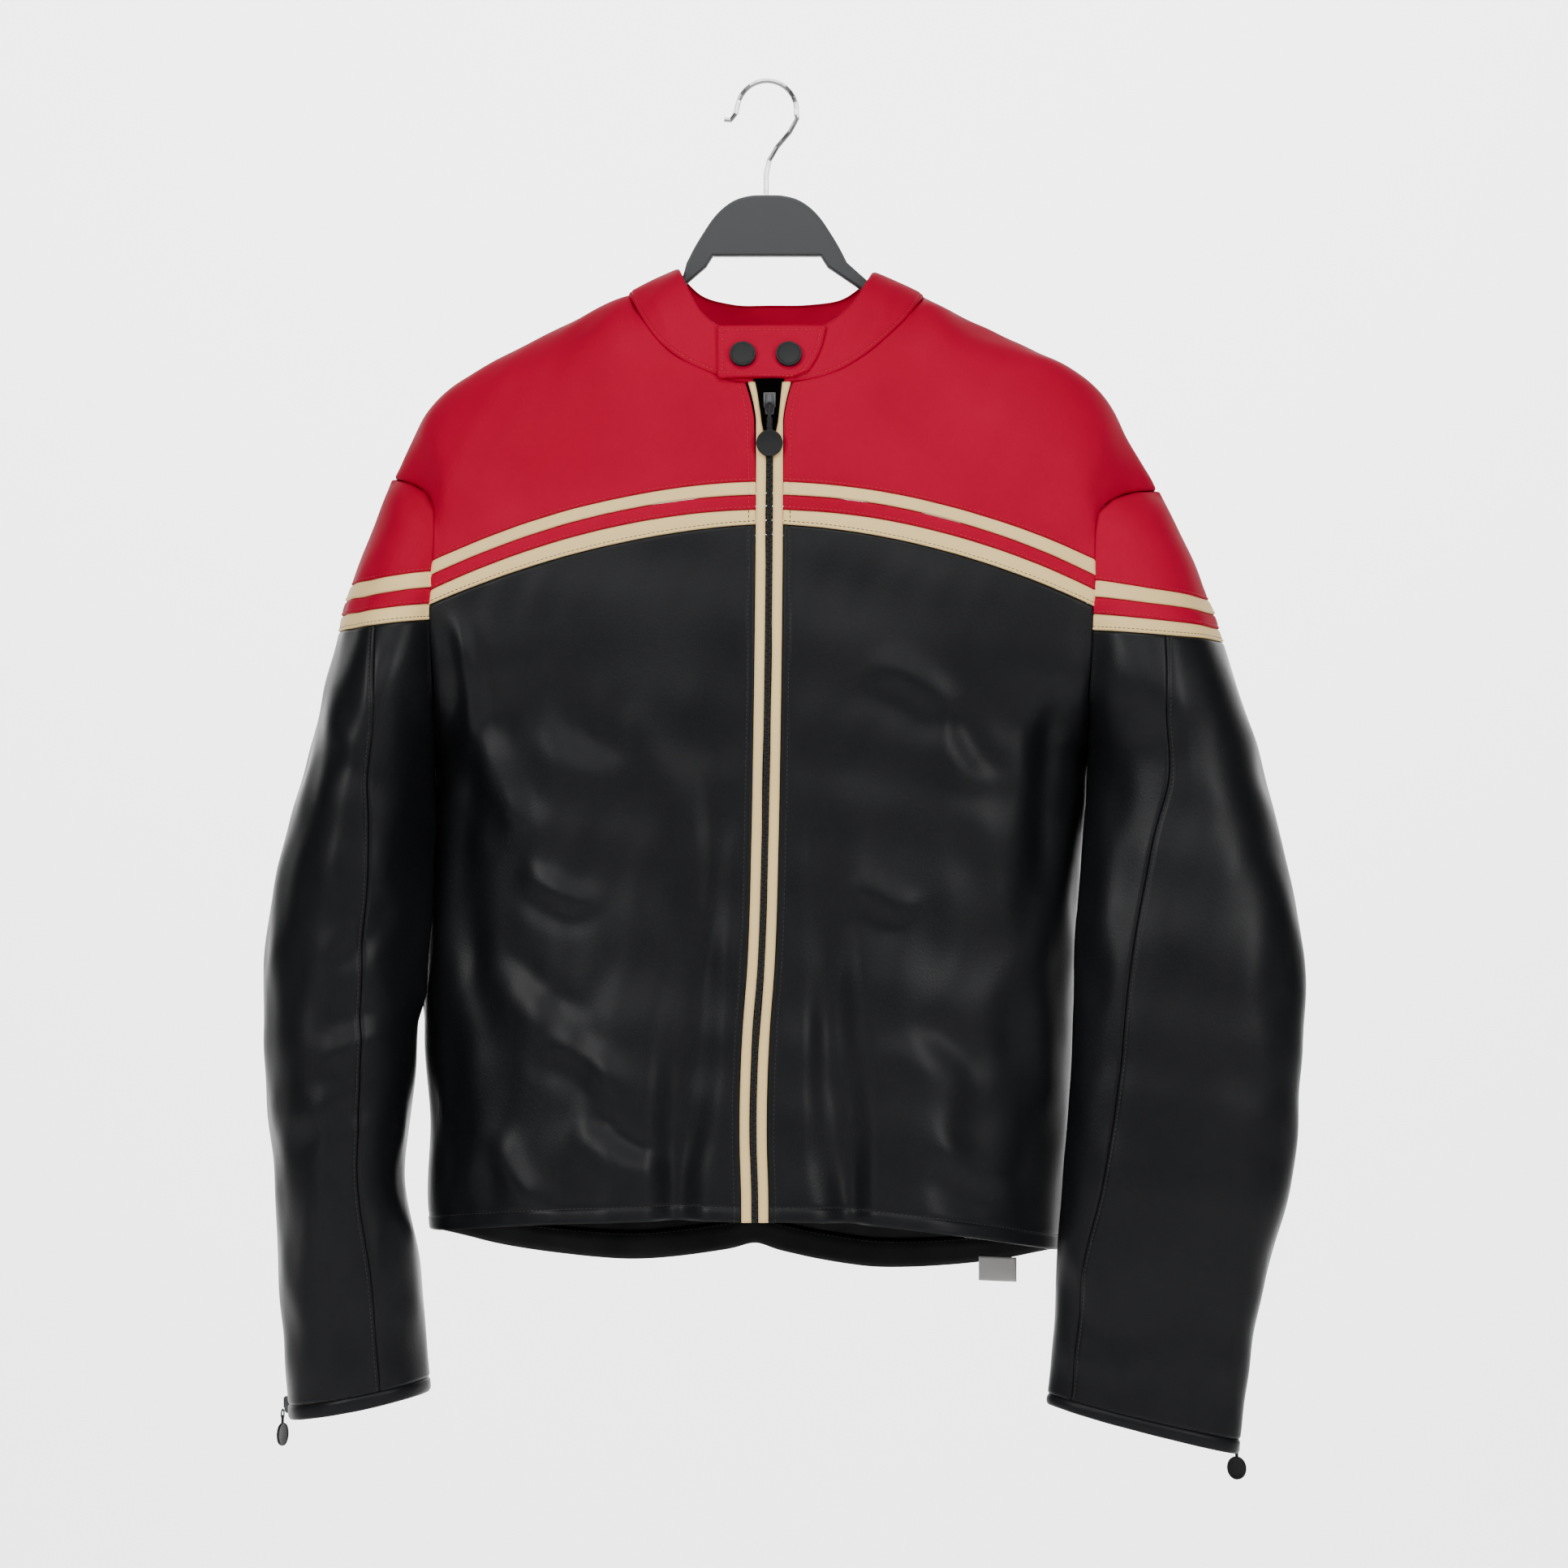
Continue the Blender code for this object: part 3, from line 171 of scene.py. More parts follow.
def between(rows, column, z):
    """A table's column at height z, read along a smooth curve through its rows."""
    heights = np.array([row.z for row in rows], float)
    values = np.array([getattr(row, column) for row in rows], float)
    order = np.argsort(heights)
    heights, values = heights[order], values[order]
    slopes = np.gradient(values, heights)
    z = np.clip(z, heights[0], heights[-1])
    i = np.clip(np.searchsorted(heights, z) - 1, 0, len(heights) - 2)
    span = heights[i + 1] - heights[i]
    t = (z - heights[i]) / span
    return (values[i] * (1 + 2 * t) * (1 - t) ** 2 + values[i + 1] * t * t * (3 - 2 * t)
            + span * t * (1 - t) * (slopes[i] * (1 - t) - slopes[i + 1] * t))


def across(edge, share):
    """A stripe's or hem's height at a share of the way across: a curve through its three heights."""
    return (edge.centre * (1 - share) * (1 - 2 * share) + edge.middle * 4 * share * (1 - share)
            + edge.side * share * (2 * share - 1))


def unit(vectors):
    return vectors / np.maximum(np.linalg.norm(vectors, axis=-1, keepdims=True), 1e-9)


def bell(off, width):
    """1 in the middle, fading softly to nothing over a width."""
    return np.exp(-((off / width) ** 2))


def eased(t):
    """From 0 to 1 with a soft start and end."""
    return t * t * (3 - 2 * t)


def side_heights(side, hem):
    """Height at the side seam for each row below the stripes."""
    holes = ARMHOLE[side]
    fold = holes[-1].z - UNDERARM_FOLD
    lower = [fold + (hem.side - fold) * i / LOWER_ROWS for i in range(LOWER_ROWS + 1)]
    return [hole.z for hole in holes[BLACK_ROW:]] + lower


def fold_height(face, x, z):
    """How far the folds of a sheet stand out at a point."""
    total = 0.0
    for fold in FOLDS:
        if fold.face == face:
            run = np.clip((fold.z_top - z) / (fold.z_top - fold.z_foot), 0, 1)
            middle = fold.x_top + (fold.x_foot - fold.x_top) * run
            total += fold.height * eased(run) * bell(x - middle, fold.width)
    return total

# %% One half of the front or back
def sheet(side, face):
    """Its points[row][column], from the zip's middle to the side and from the top to the hem."""
    holes, hem, top = ARMHOLE[side], HEM[face, side], list(TOP[side])
    sides = side_heights(side, hem)
    seam = "right" if side == RIGHT else "left"
    neck_x, neck_z = top[NECK_COLUMN]
    if face == BACK:
        middle_x = between(TORSO, "zip", STRIPES[0].centre)
        for column in range(NECK_COLUMN):
            share = ACROSS[column] / ACROSS[NECK_COLUMN]
            drop = BACK_NECK_DROP * math.sqrt(1 - share ** NECK_CURVE)
            top[column] = (middle_x + (neck_x - middle_x) * share, neck_z - drop)

    def x_across(z, x_side, share):
        """x at a share of the way from the zip to the side."""
        zip_x = between(TORSO, "zip", z) + (BINDING_EDGE * side if face == FRONT else 0)
        return zip_x + (x_side - zip_x) * share

    def point(row, column, share):
        top_x, top_z = top[column]
        hole = holes[min(row, UNDERARM_ROW)]
        if row <= BAND_ROW:
            low = holes[BAND_ROW]
            low_z = across(STRIPES[0]._replace(side=low.z), share)
            run = (row / BAND_ROW) ** RIDGE_CROWD
            pull = max(0.0, (share - ARMHOLE_FROM) / (1 - ARMHOLE_FROM)) ** 3
            edge_x, edge_z = (a + (b - a) * run for a, b in zip(top[-1], (low.x, low.z)))
            x = top_x + (x_across(low_z, low.x, share) - top_x) * run + (hole.x - edge_x) * pull
            z = top_z + (low_z - top_z) * run + (hole.z - edge_z) * pull
        elif row <= BLACK_ROW:
            z = across(STRIPES[row - BAND_ROW]._replace(side=hole.z), share)
            x = x_across(z, hole.x, share)
        else:
            step = row - BLACK_ROW
            start = across(STRIPES[-1]._replace(side=holes[BLACK_ROW].z), share)
            centre_run = step / (len(sides) - 1)
            side_run = (sides[step] - sides[0]) / (hem.side - sides[0])
            z = start + (across(hem, share) - start) * (centre_run + (side_run - centre_run) * share ** 2)
            x = x_across(z, hole.x if row <= UNDERARM_ROW else between(TORSO, seam, sides[step]), share)
        half = hole.half if row <= UNDERARM_ROW else 0
        depth = between(TORSO, "front" if face == FRONT else "back", z)
        below = math.hypot(x - top_x, z - top_z) + (max(0, neck_z - top_z) if column < NECK_COLUMN else 0)
        depth *= math.sqrt(1 - (1 - min(below / ROOF, 1)) ** 2)
        lower = min(max((row - BLACK_ROW) / (UNDERARM_ROW - BLACK_ROW), 0), 1)
        rounding = (1 - share ** SIDE_POWER) ** (1 / (1 + (SIDE_ROUND - 1) * lower))
        depth = half + (max(depth, half) - half) * rounding + fold_height(face, x, z) * rounding
        seam_y = between(TORSO, "seam_y", z) if row > UNDERARM_ROW else 0
        return x, seam_y * share * share + face * depth, z

    return np.array([[point(row, column, share) for column, share in enumerate(ACROSS)]
                     for row in range(BLACK_ROW + len(sides))], float)


coarse = {(face, side): sheet(side, face) for face in (FRONT, BACK) for side in (RIGHT, LEFT)}
coarse[BACK, LEFT][:, 0] = coarse[BACK, RIGHT][:, 0]
print("a half sheet has", coarse[FRONT, RIGHT].shape[:2], "points")

# %% [markdown]
# A sleeve is a tube that starts at the armhole. Its first rows are open towards the body, as the cap of a real
# sleeve is, and under the arm it closes. Each row is part of an ellipse: wide at the elbow, narrow at the cuff.

# %% Sizes of the sleeves
# A sleeve's open rows lie between the cap and the underarm: the outer point and, as a number
# counted along the armhole's points, the point where the row starts and ends.
Cap = namedtuple("Cap", "x z start")
CAP = {
    RIGHT: table(Cap,
        (-256, -273, 3), (-261, -286, 4), (-268, -304, 4.6), (-276, -324, 5.2), (-284, -347, 5.7),
        (-288, -358, 6.8), (-291, -368, 7.9), (-293, -379, 8.33), (-298, -399, 9), (-306, -429, 10),
        (-313, -458, 11)),
    LEFT: table(Cap,
        (268, -281, 3), (275, -295, 4), (284, -313, 4.7), (294, -334, 5.4), (303, -357, 6.3),
        (307, -367, 7.4), (310, -377, 8.17), (313, -386, 8.55), (318, -401, 9), (328, -431, 10),
        (337, -458, 11)),
}
CAP_BAND_ROW = 4
CAP_BLACK_ROW = CAP_BAND_ROW + len(BAND_NAMES)
# Below the underarm a row is closed: its outer and inner points, its middle's y, half its depth,
# and the angle from the outer point to the front and back seams.
Tube = namedtuple("Tube", "x_out z_out x_in z_in y half seam")
TUBE = {
    RIGHT: table(Tube,
        (-315, -466, -235, -467, 0, 80, 99),
        (-329, -519, -236, -519, -2, 78, 108),
        (-345, -609, -240, -609, -6, 68, 111),
        (-344, -687, -243, -687, -8, 65, 112),
        (-338, -754, -250, -754, -8, 60, 113),
        (-335, -822, -239, -815, -8, 52, 112),
        (-332, -861, -237, -845, -6, 48, 112),
        (-328, -920, -233, -901, -4, 43, 112)),
    LEFT: table(Tube,
        (339, -466, 227, -467, 0, 66, 98),
        (352, -519, 222, -519, -12, 58, 112),
        (367, -609, 212, -609, -30, 45, 124),
        (363, -687, 208, -687, -34, 41, 128),
        (358, -754, 203, -754, -34, 38, 133),
        (342, -816, 199, -808, -30, 33, 140),
        (333, -858, 198, -846, -26, 30, 142),
        (322, -942, 193, -908, -22, 27, 142)),
}
TUBE_ROWS = 15
CUFF_BAND = 10
INNER_COLUMNS, OUTER_COLUMNS = 4, 12  # round a sleeve: either side of a seam
CAP_SEAM_ANGLE = 72
OPEN_SEAM = 0.72  # of an open row's angle, the most at which a seam lies

# %% A sleeve's rows
def armhole_at(side, start, face):
    """The armhole's point at a number counted along its points, on the front or back."""
    holes = ARMHOLE[side]
    i = min(int(start), len(holes) - 2)
    x, z, half = (a + (b - a) * (start - i) for a, b in zip(holes[i], holes[i + 1]))
    return np.array([x, face * half, z])


def arc(x_out, z_out, x_in, z_in, half_in, half, y, seam):
    """One row of a sleeve. half_in is half the opening at the armhole, 0 on a closed row."""
    limit = 180 - math.degrees(math.asin(min(half_in / half, 1)))
    if half_in:
        seam = min(seam, limit * OPEN_SEAM)
    inner, outer = np.linspace(limit, seam, INNER_COLUMNS + 1), np.linspace(seam, -seam, OUTER_COLUMNS + 1)
    angles = np.radians(np.concatenate([inner, outer[1:], -inner[::-1][1:]]))
    reach = (x_out - x_in) / (1 - math.cos(math.radians(limit)))
    x = x_out - reach + reach * np.cos(angles)
    share = (x - x_in) / (x_out - x_in)
    return np.stack([x, y - half * np.sin(angles), z_in + (z_out - z_in) * share], axis=1)


def cap_top(side):
    """A sleeve's first row lies along the armhole's top, over the shoulder tip."""
    ways = np.linspace(1, -1, 2 * INNER_COLUMNS + OUTER_COLUMNS + 1) * CAP[side][0].start
    return np.array([armhole_at(side, abs(way), FRONT if way > 0 else BACK) for way in ways])


def sleeve(side):
    """A sleeve's grid: points[row][column], and the row from which it is closed."""
    holes, caps, tubes = ARMHOLE[side], CAP[side], TUBE[side]
    rows = [cap_top(side)]
    for cap in caps[1:]:
        hole = armhole_at(side, cap.start, FRONT)
        share = (holes[0].z - hole[2]) / (holes[0].z - holes[-1].z)
        half = math.hypot(hole[1], tubes[0].half * eased(share))
        seam = CAP_SEAM_ANGLE + (tubes[0].seam - CAP_SEAM_ANGLE) * max(0, share - 0.5) * 2
        rows.append(arc(cap.x, cap.z, hole[0], hole[2], -hole[1], half, 0, seam))
    foot = tubes[-1].z_out
    for z in [*np.linspace(tubes[0].z_out, foot + CUFF_BAND, TUBE_ROWS), foot]:
        tube = Tube(*[between([Step(row.z_out, getattr(row, name)) for row in tubes], "value", z)
                      for name in Tube._fields])
        rows.append(arc(*tube[:4], 0, tube.half, tube.y, tube.seam))
    grid, closed = np.array(rows), len(caps) - 1
    near_armhole = np.linspace(-1, 1, grid.shape[1]) ** 2
    for row in range(closed + 1):
        share = row / closed
        apart = ARMHOLE_CLEAR * (0.5 + 0.5 * share ** 3)
        grid[row, :, 0] += side * apart * (1 - share * (1 - near_armhole))
    return grid, closed


sleeves = {side: sleeve(side) for side in (RIGHT, LEFT)}
print("sleeve rows:", len(sleeves[RIGHT][0]), "and", len(sleeves[LEFT][0]))

# %% [markdown]
# ## From a coarse grid to leather
# A natural cubic spline through the grid's points gives a surface as smooth as stretched leather, at any
# spacing. It is read closely beside the seams, where the edges turn in, and more widely between them.

# %% Reading the surface anywhere
def spline_weights(knots, at):
    """Weights that read a natural cubic spline through values at the knots."""
    knots, at = np.asarray(knots, float), np.asarray(at, float)
    count, gaps = len(knots), np.diff(knots)
    left, right = np.eye(count), np.zeros((count, count))
    for i in range(1, count - 1):
        left[i, i - 1:i + 2] = gaps[i - 1], 2 * (gaps[i - 1] + gaps[i]), gaps[i]
        right[i, i - 1:i + 2] = 6 / gaps[i - 1], -6 / gaps[i - 1] - 6 / gaps[i], 6 / gaps[i]
    bend = np.linalg.solve(left, right)
    i = np.clip(np.searchsorted(knots, at, side="right") - 1, 0, count - 2)
    before, after, gap = (at - knots[i])[:, None], (knots[i + 1] - at)[:, None], gaps[i][:, None]
    same = np.eye(count)
    return (after / gap * same[i] + before / gap * same[i + 1]
            + (after ** 3 / gap - gap * after) / 6 * bend[i]
            + (before ** 3 / gap - gap * before) / 6 * bend[i + 1])


def read_surface(grid, row_knots, column_knots, row_at, column_at, sign):
    """Points and outward directions of the smooth surface at every pair of places."""
    def read(rows, columns):
        return np.einsum("ri,ijk,cj->rck", spline_weights(row_knots, rows), grid,
                         spline_weights(column_knots, columns), optimize=True)
    points = read(row_at, column_at)
    down = read(row_at + 0.2, column_at) - read(row_at - 0.2, column_at)
    sideways = read(row_at, column_at + 0.2) - read(row_at, column_at - 0.2)
    return points, unit(np.cross(sideways, down)) * sign


def lengths(points, axis):
    """Distance along an axis of a grid, from its start."""
    steps = np.linalg.norm(np.diff(points, axis=axis), axis=-1)
    return np.concatenate([np.zeros_like(np.take(steps, [0], axis=axis)), np.cumsum(steps, axis=axis)], axis=axis)


def read_line(line, way, at):
    """A line's points read at distances along it."""
    return np.stack([np.interp(at, way, line[:, i]) for i in range(3)], axis=-1)


NEAR_SEAM = (0, 0.35, 0.8, 1.4, 2.2, 3.2)


def places(start, end, step, first=NEAR_SEAM, last=NEAR_SEAM):
    """Places from start to end: close together at the seams and step apart between them."""
    head, tail = [start + d for d in first], [end - d for d in last]
    count = max(2, int(math.ceil((tail[-1] - head[-1]) / step)) + 1)
    return np.concatenate([head, np.linspace(head[-1], tail[-1], count)[1:-1], tail[::-1]])


# %% [markdown]
# Leather keeps the creases of wearing and folding. Each one here is a soft ridge or trough, with
# its own length, width and height, and it fades out at both ends. A slow unevenness runs all over as well,
# because no hide lies perfectly flat.

# %% Creases
Crease = namedtuple("Crease", "x z x_end z_end width height bow")
DEEPER, BROADER = 1.7, 1.3  # the front's creases, against the sizes in their table
TROUGH, TROUGH_OFF = 0.45, 1.9  # beside each crease: its depth and place, as shares of the crease's own
END_SHARE, END_STEEP = 0.25, 2.6  # how strong a crease is at its ends, and how fast it grows from there
FRONT_CREASES = [Crease(*row[:4], row[4] * BROADER, row[5] * DEEPER, row[6]) for row in (
    (-209, -370, -201, -450, 4.5, 1.5, -4), (-202, -452, -219, -502, 5, 1.3, -3), (-196, -380, -189, -458, 5, -1.1, -3),
    (-200, -420, -160, -520, 9, 2.6, 6), (-205, -470, -196, -640, 8, -2.6, 4), (-196, -640, -206, -770, 9, 2.2, -5),
    (-150, -395, -105, -470, 10, -1.6, 8), (-165, -540, -112, -565, 7, 1.5, 4), (-178, -585, -120, -640, 9, -1.5, 8),
    (-150, -655, -95, -690, 8, 1.7, -5), (-120, -700, -70, -735, 7, -1.6, 4), (-185, -720, -150, -770, 8, 1.8, 5),
    (-48, -470, -42, -600, 9, 1.6, 3), (-95, -430, -62, -520, 11, 1.3, -6),
    (70, -400, 128, -436, 9, 1.6, -5), (128, -430, 160, -478, 8, -1.4, 5), (60, -545, 104, -568, 8, 1.3, 4),
    (150, -500, 166, -640, 10, 1.6, -6), (198, -420, 190, -560, 8, -2.6, 4), (186, -560, 192, -700, 9, 1.8, 4),
    (96, -640, 150, -690, 10, -1.2, -6), (110, -720, 170, -756, 9, 1.5, 5),
    (-190, -250, -120, -290, 12, 1.0, -8), (120, -235, 190, -280, 12, 1.0, 8))]
BACK_CREASES = table(Crease,
    (-190, -430, -140, -520, 11, 1.6, 7), (-150, -600, -80, -650, 10, -1.4, 6), (170, -440, 120, -540, 11, 1.5, -7),
    (60, -560, 130, -600, 9, 1.4, 5), (-40, -680, 30, -710, 10, 1.3, -6), (110, -700, 160, -760, 9, -1.4, 5),
    (-180, -700, -120, -745, 9, 1.5, -5), (-120, -260, -40, -275, 13, 0.9, 5), (50, -250, 140, -285, 13, 0.9, -5))
SLEEVE_CREASES = {
    RIGHT: table(Crease,
        (-300, -400, -275, -470, 10, 1.8, 5), (-318, -480, -330, -640, 11, 2.0, 6),
        (-255, -560, -292, -610, 8, -1.8, -5), (-250, -650, -300, -672, 9, 1.9, 4),
        (-262, -700, -320, -735, 9, -1.6, 5), (-300, -690, -312, -820, 10, 1.6, -5),
        (-262, -770, -268, -890, 9, 2.0, 4), (-290, -800, -296, -900, 8, -1.6, -3),
        (-240, -470, -262, -560, 9, 1.6, 4)),
    LEFT: table(Crease,
        (300, -400, 330, -480, 11, 1.2, -5), (232, -480, 240, -640, 9, 1.5, 4), (330, -560, 345, -700, 13, 1.0, 7),
        (214, -800, 232, -880, 8, 1.9, -3), (206, -845, 262, -862, 10, -0.9, 4), (204, -870, 250, -884, 9, 0.8, 3),
        (300, -760, 318, -880, 12, -1.0, 5)),
}
COLLAR_CREASES = table(Crease,
    (-78, -148, -60, -178, 5, 0.9, 2), (-66, -156, -50, -190, 4, -0.8, 2), (84, -150, 66, -184, 5, 0.9, -2),
    (60, -160, 44, -192, 4, -0.8, -1))


def crease_height(creases, x, z):
    """Height of a set of creases at points of the front or back."""
    total = np.zeros_like(x)
    for crease in creases:
        way_x, way_z = crease.x_end - crease.x, crease.z_end - crease.z
        length = math.hypot(way_x, way_z)
        along = ((x - crease.x) * way_x + (z - crease.z) * way_z) / length ** 2
        off = ((x - crease.x) * way_z - (z - crease.z) * way_x) / length
        off = off - crease.bow * (1 - (2 * np.clip(along, 0, 1) - 1) ** 2)
        ends = eased(np.clip(np.minimum(along, 1 - along) * END_STEEP + END_SHARE, 0, 1))
        line = bell(off, crease.width) - TROUGH * bell(off - TROUGH_OFF * crease.width, crease.width)
        total = total + crease.height * ends * line
    return total


def unevenness(points):
    """A slow, shallow waviness of about half a millimetre, the same wherever pieces meet."""
    x, y, z = np.moveaxis(points, -1, 0)
    total = np.zeros_like(x)
    for size, turn, tilt, shift in ((71, 0.3, 0.8, 1.1), (53, 1.4, 0.2, 2.7), (39, 2.3, 1.1, 0.4),
                                    (31, 0.9, 1.9, 4.2), (24, 2.9, 0.6, 5.1)):
        way = (x * math.cos(turn) + z * math.sin(turn)) * math.cos(tilt) + y * math.sin(tilt)
        total += size / 150 * np.sin(way * 2 * math.pi / size + shift + 0.7 * np.sin(z / (size * 0.6) + shift))
    return total


# %% [markdown]
# A panel is a thin shell. Its outer face turns in at the seams, which makes the fine dark line between two
# pieces, and a row of stitches presses a shallow groove beside it. Thread lies in the groove as separate stitches.

# %% A panel from its points
sheets = []
thread_lines = {"red": [], "black": [], "cream": []}
BACKING = 0.85  # share of a half wall between the middle and the inner face
GROOVE_DEEP, GROOVE_WIDE = 0.5, 0.8
HEM_RIDGE, HEM_EDGE = 0.45, 0.7  # how far the turned-up hem stands out, and how soft its edge is


def mesh_of(name, vertices, faces):
    mesh = bpy.data.meshes.new(name)
    mesh.from_pydata((np.asarray(vertices) * MM).tolist(), [], [list(map(int, face)) for face in faces])
    mesh.validate()
    mesh.shade_smooth()
    piece = new_object(name, mesh)
    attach(piece, "jacket")
    return piece


def shell(name, outer, inner, index=None, drop_column=None):
    """A closed thin shell from two grids of points, with its rim."""
    total = outer.shape[0] * outer.shape[1]
    if index is None:
        index = np.arange(total).reshape(outer.shape[:2])
    quads = np.stack([index[:-1, :-1], index[1:, :-1], index[1:, 1:], index[:-1, 1:]], axis=-1)
    if drop_column is not None:
        quads = np.delete(quads, drop_column, axis=1)
    quads = quads.reshape(-1, 4)
    starts, ends = quads.reshape(-1), np.roll(quads, -1, axis=1).reshape(-1)
    rim = ~np.isin(starts * total + ends, ends * total + starts)
    starts, ends = starts[rim], ends[rim]
    rim_faces = np.stack([ends, starts, starts + total, ends + total], axis=1)
    faces = np.concatenate([quads, quads[:, ::-1] + total, rim_faces])
    vertices = np.concatenate([outer.reshape(-1, 3), inner.reshape(-1, 3)])
    volume = np.einsum("ij,ij->", vertices[faces[:, 0]], np.cross(vertices[faces[:, 1]], vertices[faces[:, 2]]))
    if volume < 0:
        faces = faces[:, ::-1]
    used = np.unique(faces)
    renumber = np.zeros(2 * total, int)
    renumber[used] = np.arange(len(used))
    piece = mesh_of(name, vertices[used], renumber[faces])
    inside = piece.data.attributes.new("inside", "FLOAT", "POINT")
    inside.data.foreach_set("value", (used >= total).astype(np.float32))
    return piece


def seam_edge(distance):
    """How far a panel's face turns in at a distance from its seam."""
    return 0.85 * bell(distance, 0.95)


def lip(distance):
    """The rolled edge of a piece that laps over its neighbour: high, then steeply down."""
    return 0.75 * bell(distance, 1.9) - 1.3 * bell(distance, 0.5)


ALL_EDGES = ("top", "foot", "first", "last")


def panel(name, points, normals, finish, seams=ALL_EDGES, stitched=(), fade=1.0, creases=(), index=None,
          drop_column=None, thick=WALL, thread=None, puff=0.0, hem=None, waves=1.0, lips=(), tuck=0.0):
    """Turns a grid of points into one leather piece. seams names its sewn edges, and stitched gives
    (edge, distance) for each row of thread."""
    edges = {"top": lengths(points, 0), "first": lengths(points, 1)}
    edges["foot"] = edges["top"][-1:] - edges["top"]
    edges["last"] = edges["first"][:, -1:] - edges["first"]
    height = (crease_height(creases, points[..., 0], points[..., 2]) + unevenness(points) * waves) * fade
    rise = height + thick / 2 - tuck
    for edge in seams:
        rise = rise - seam_edge(edges[edge])
    for edge in lips:
        rise = rise + lip(edges[edge])
    if puff:
        rise = rise + puff * (1 - bell(np.minimum.reduce([edges[edge] for edge in seams]), 2.5))
    if hem:
        edge, depth = hem
        rise = rise - seam_edge(edges[edge] * 1.2) + HEM_RIDGE / (1 + np.exp((edges[edge] - depth) / HEM_EDGE))
    for edge, distance in stitched:
        rise = rise - GROOVE_DEEP * bell(edges[edge] - distance, GROOVE_WIDE)
    outer = points + normals * rise[..., None]
    inner = points + normals * (np.minimum(height, rise - thick / 2 - 0.3) - BACKING * thick / 2)[..., None]
    piece = shell("shell_" + name, outer, inner, index, drop_column)
    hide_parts(name)
    for edge, distance in stitched:
        thread_lines[thread or finish.split("_")[0]].append(line_at(outer, normals, edges[edge], edge, distance))
    sheets.append((piece, points, finish))


def line_at(outer, normals, distances, edge, distance):
    """The points of a row of stitches: at a distance from an edge, along the whole of it."""
    if edge in ("top", "foot"):
        outer, normals, distances = (np.swapaxes(values, 0, 1) for values in (outer, normals, distances))
    found = []
    for here, lean, away in zip(outer, normals, distances):
        order = np.argsort(away)
        found.append([np.interp(distance, away[order], values[order]) for values in (*here.T, *lean.T)])
    found = np.array(found)
    return found[:, :3], found[:, 3:]


print("panels can be made")

# %% [markdown]
# ## The front
# Each half of the front has a red yoke, three narrow stripes and one large black panel. The panel's hem is
# turned up and sewn, and a row of stitches runs down beside the zip.

# %% The front's pieces
STEP, NARROW_STEP = 2.6, 2.0  # between fine rows, on a wide and on a narrow piece
STRIPE_PUFF = 0.25
ZIP_STITCH = 4.6
HEM_STITCH = 10.0
BESIDE_STITCH = NEAR_SEAM + (4.0, 4.6, 5.2)
AT_HEM = (0, 0.35, 0.8, 1.4, 2.6, 5, 7.5, 8.8, 9.4, 10, 10.6, 11.4)
LAPPING = ("yoke", "cap") + BAND_NAMES
SEAM_STITCHES = {"yoke": [("foot", 1.7)], "cap": [("foot", 1.7)], "stripe_middle": [("foot", 1.7)],
                 "stripe_lower": [("foot", 2.3)], "panel": [("foot", HEM_STITCH)]}
THREAD = {"stripe_lower": "black"}
FINISH = {"yoke": "red_leather", "cap": "red_leather", "stripe_middle": "red_leather", "panel": "black_leather"}


def body_panel(name, part, points, normals, fade, creases, seams=("top", "last", "first"), stitched=(), **more):
    """A piece of the front, back or sleeves: its leather, seams and puff follow from the part's name."""
    panel(name, points, normals, FINISH.get(part, "cream_leather"), seams, [*stitched, *SEAM_STITCHES.get(part, ())],
          fade, creases, lips=["foot"] if part in LAPPING else [], puff=STRIPE_PUFF if "stripe" in part else 0.0,
          hem=("foot", HEM_STITCH - 1) if part == "panel" else None, **more)


def knots_of(grid, axis):
    steps = np.linalg.norm(np.diff(grid, axis=axis), axis=-1).mean(axis=1 - axis)
    return np.concatenate([[0], np.cumsum(steps)])


def fine_rows(knots, bounds, names, step, at_foot=NEAR_SEAM):
    """The fine rows of a sheet, and where each of its pieces starts and ends among them."""
    rows, pieces, count = [], {}, 0
    for name, start, end in zip(names, bounds, bounds[1:]):
        is_last = name == names[-1]
        low, high = knots[start] + SEAM / 2, knots[end] - (0 if is_last else SEAM / 2)
        if "stripe" in name or name == "cuff":
            at = places(low, high, NARROW_STEP, NEAR_SEAM[:5], NEAR_SEAM[:5])
        else:
            at = places(low, high, step, NEAR_SEAM, at_foot if is_last else NEAR_SEAM)
        pieces[name] = slice(count, count + len(at))
        count += len(at)
        rows.append(at)
    return np.concatenate(rows), pieces


def true_edge(grid, column_knots, column_at):
    """The neckline and the shoulder lines, each its own curve, so that the corner between them stays sharp."""
    last = len(column_knots) - 1
    corners = [NECK_COLUMN] if len(column_knots) == len(ACROSS) else [last // 2 - NECK_COLUMN, last // 2 + NECK_COLUMN]
    bounds = [0, *corners, last]
    edge = np.empty((len(column_at), 3))
    for start, end in zip(bounds, bounds[1:]):
        inside = (column_at >= column_knots[start] - 1) & (column_at <= column_knots[end] + 1)
        edge[inside] = spline_weights(column_knots[start:end + 1], column_at[inside]) @ grid[0, start:end + 1]
    return edge


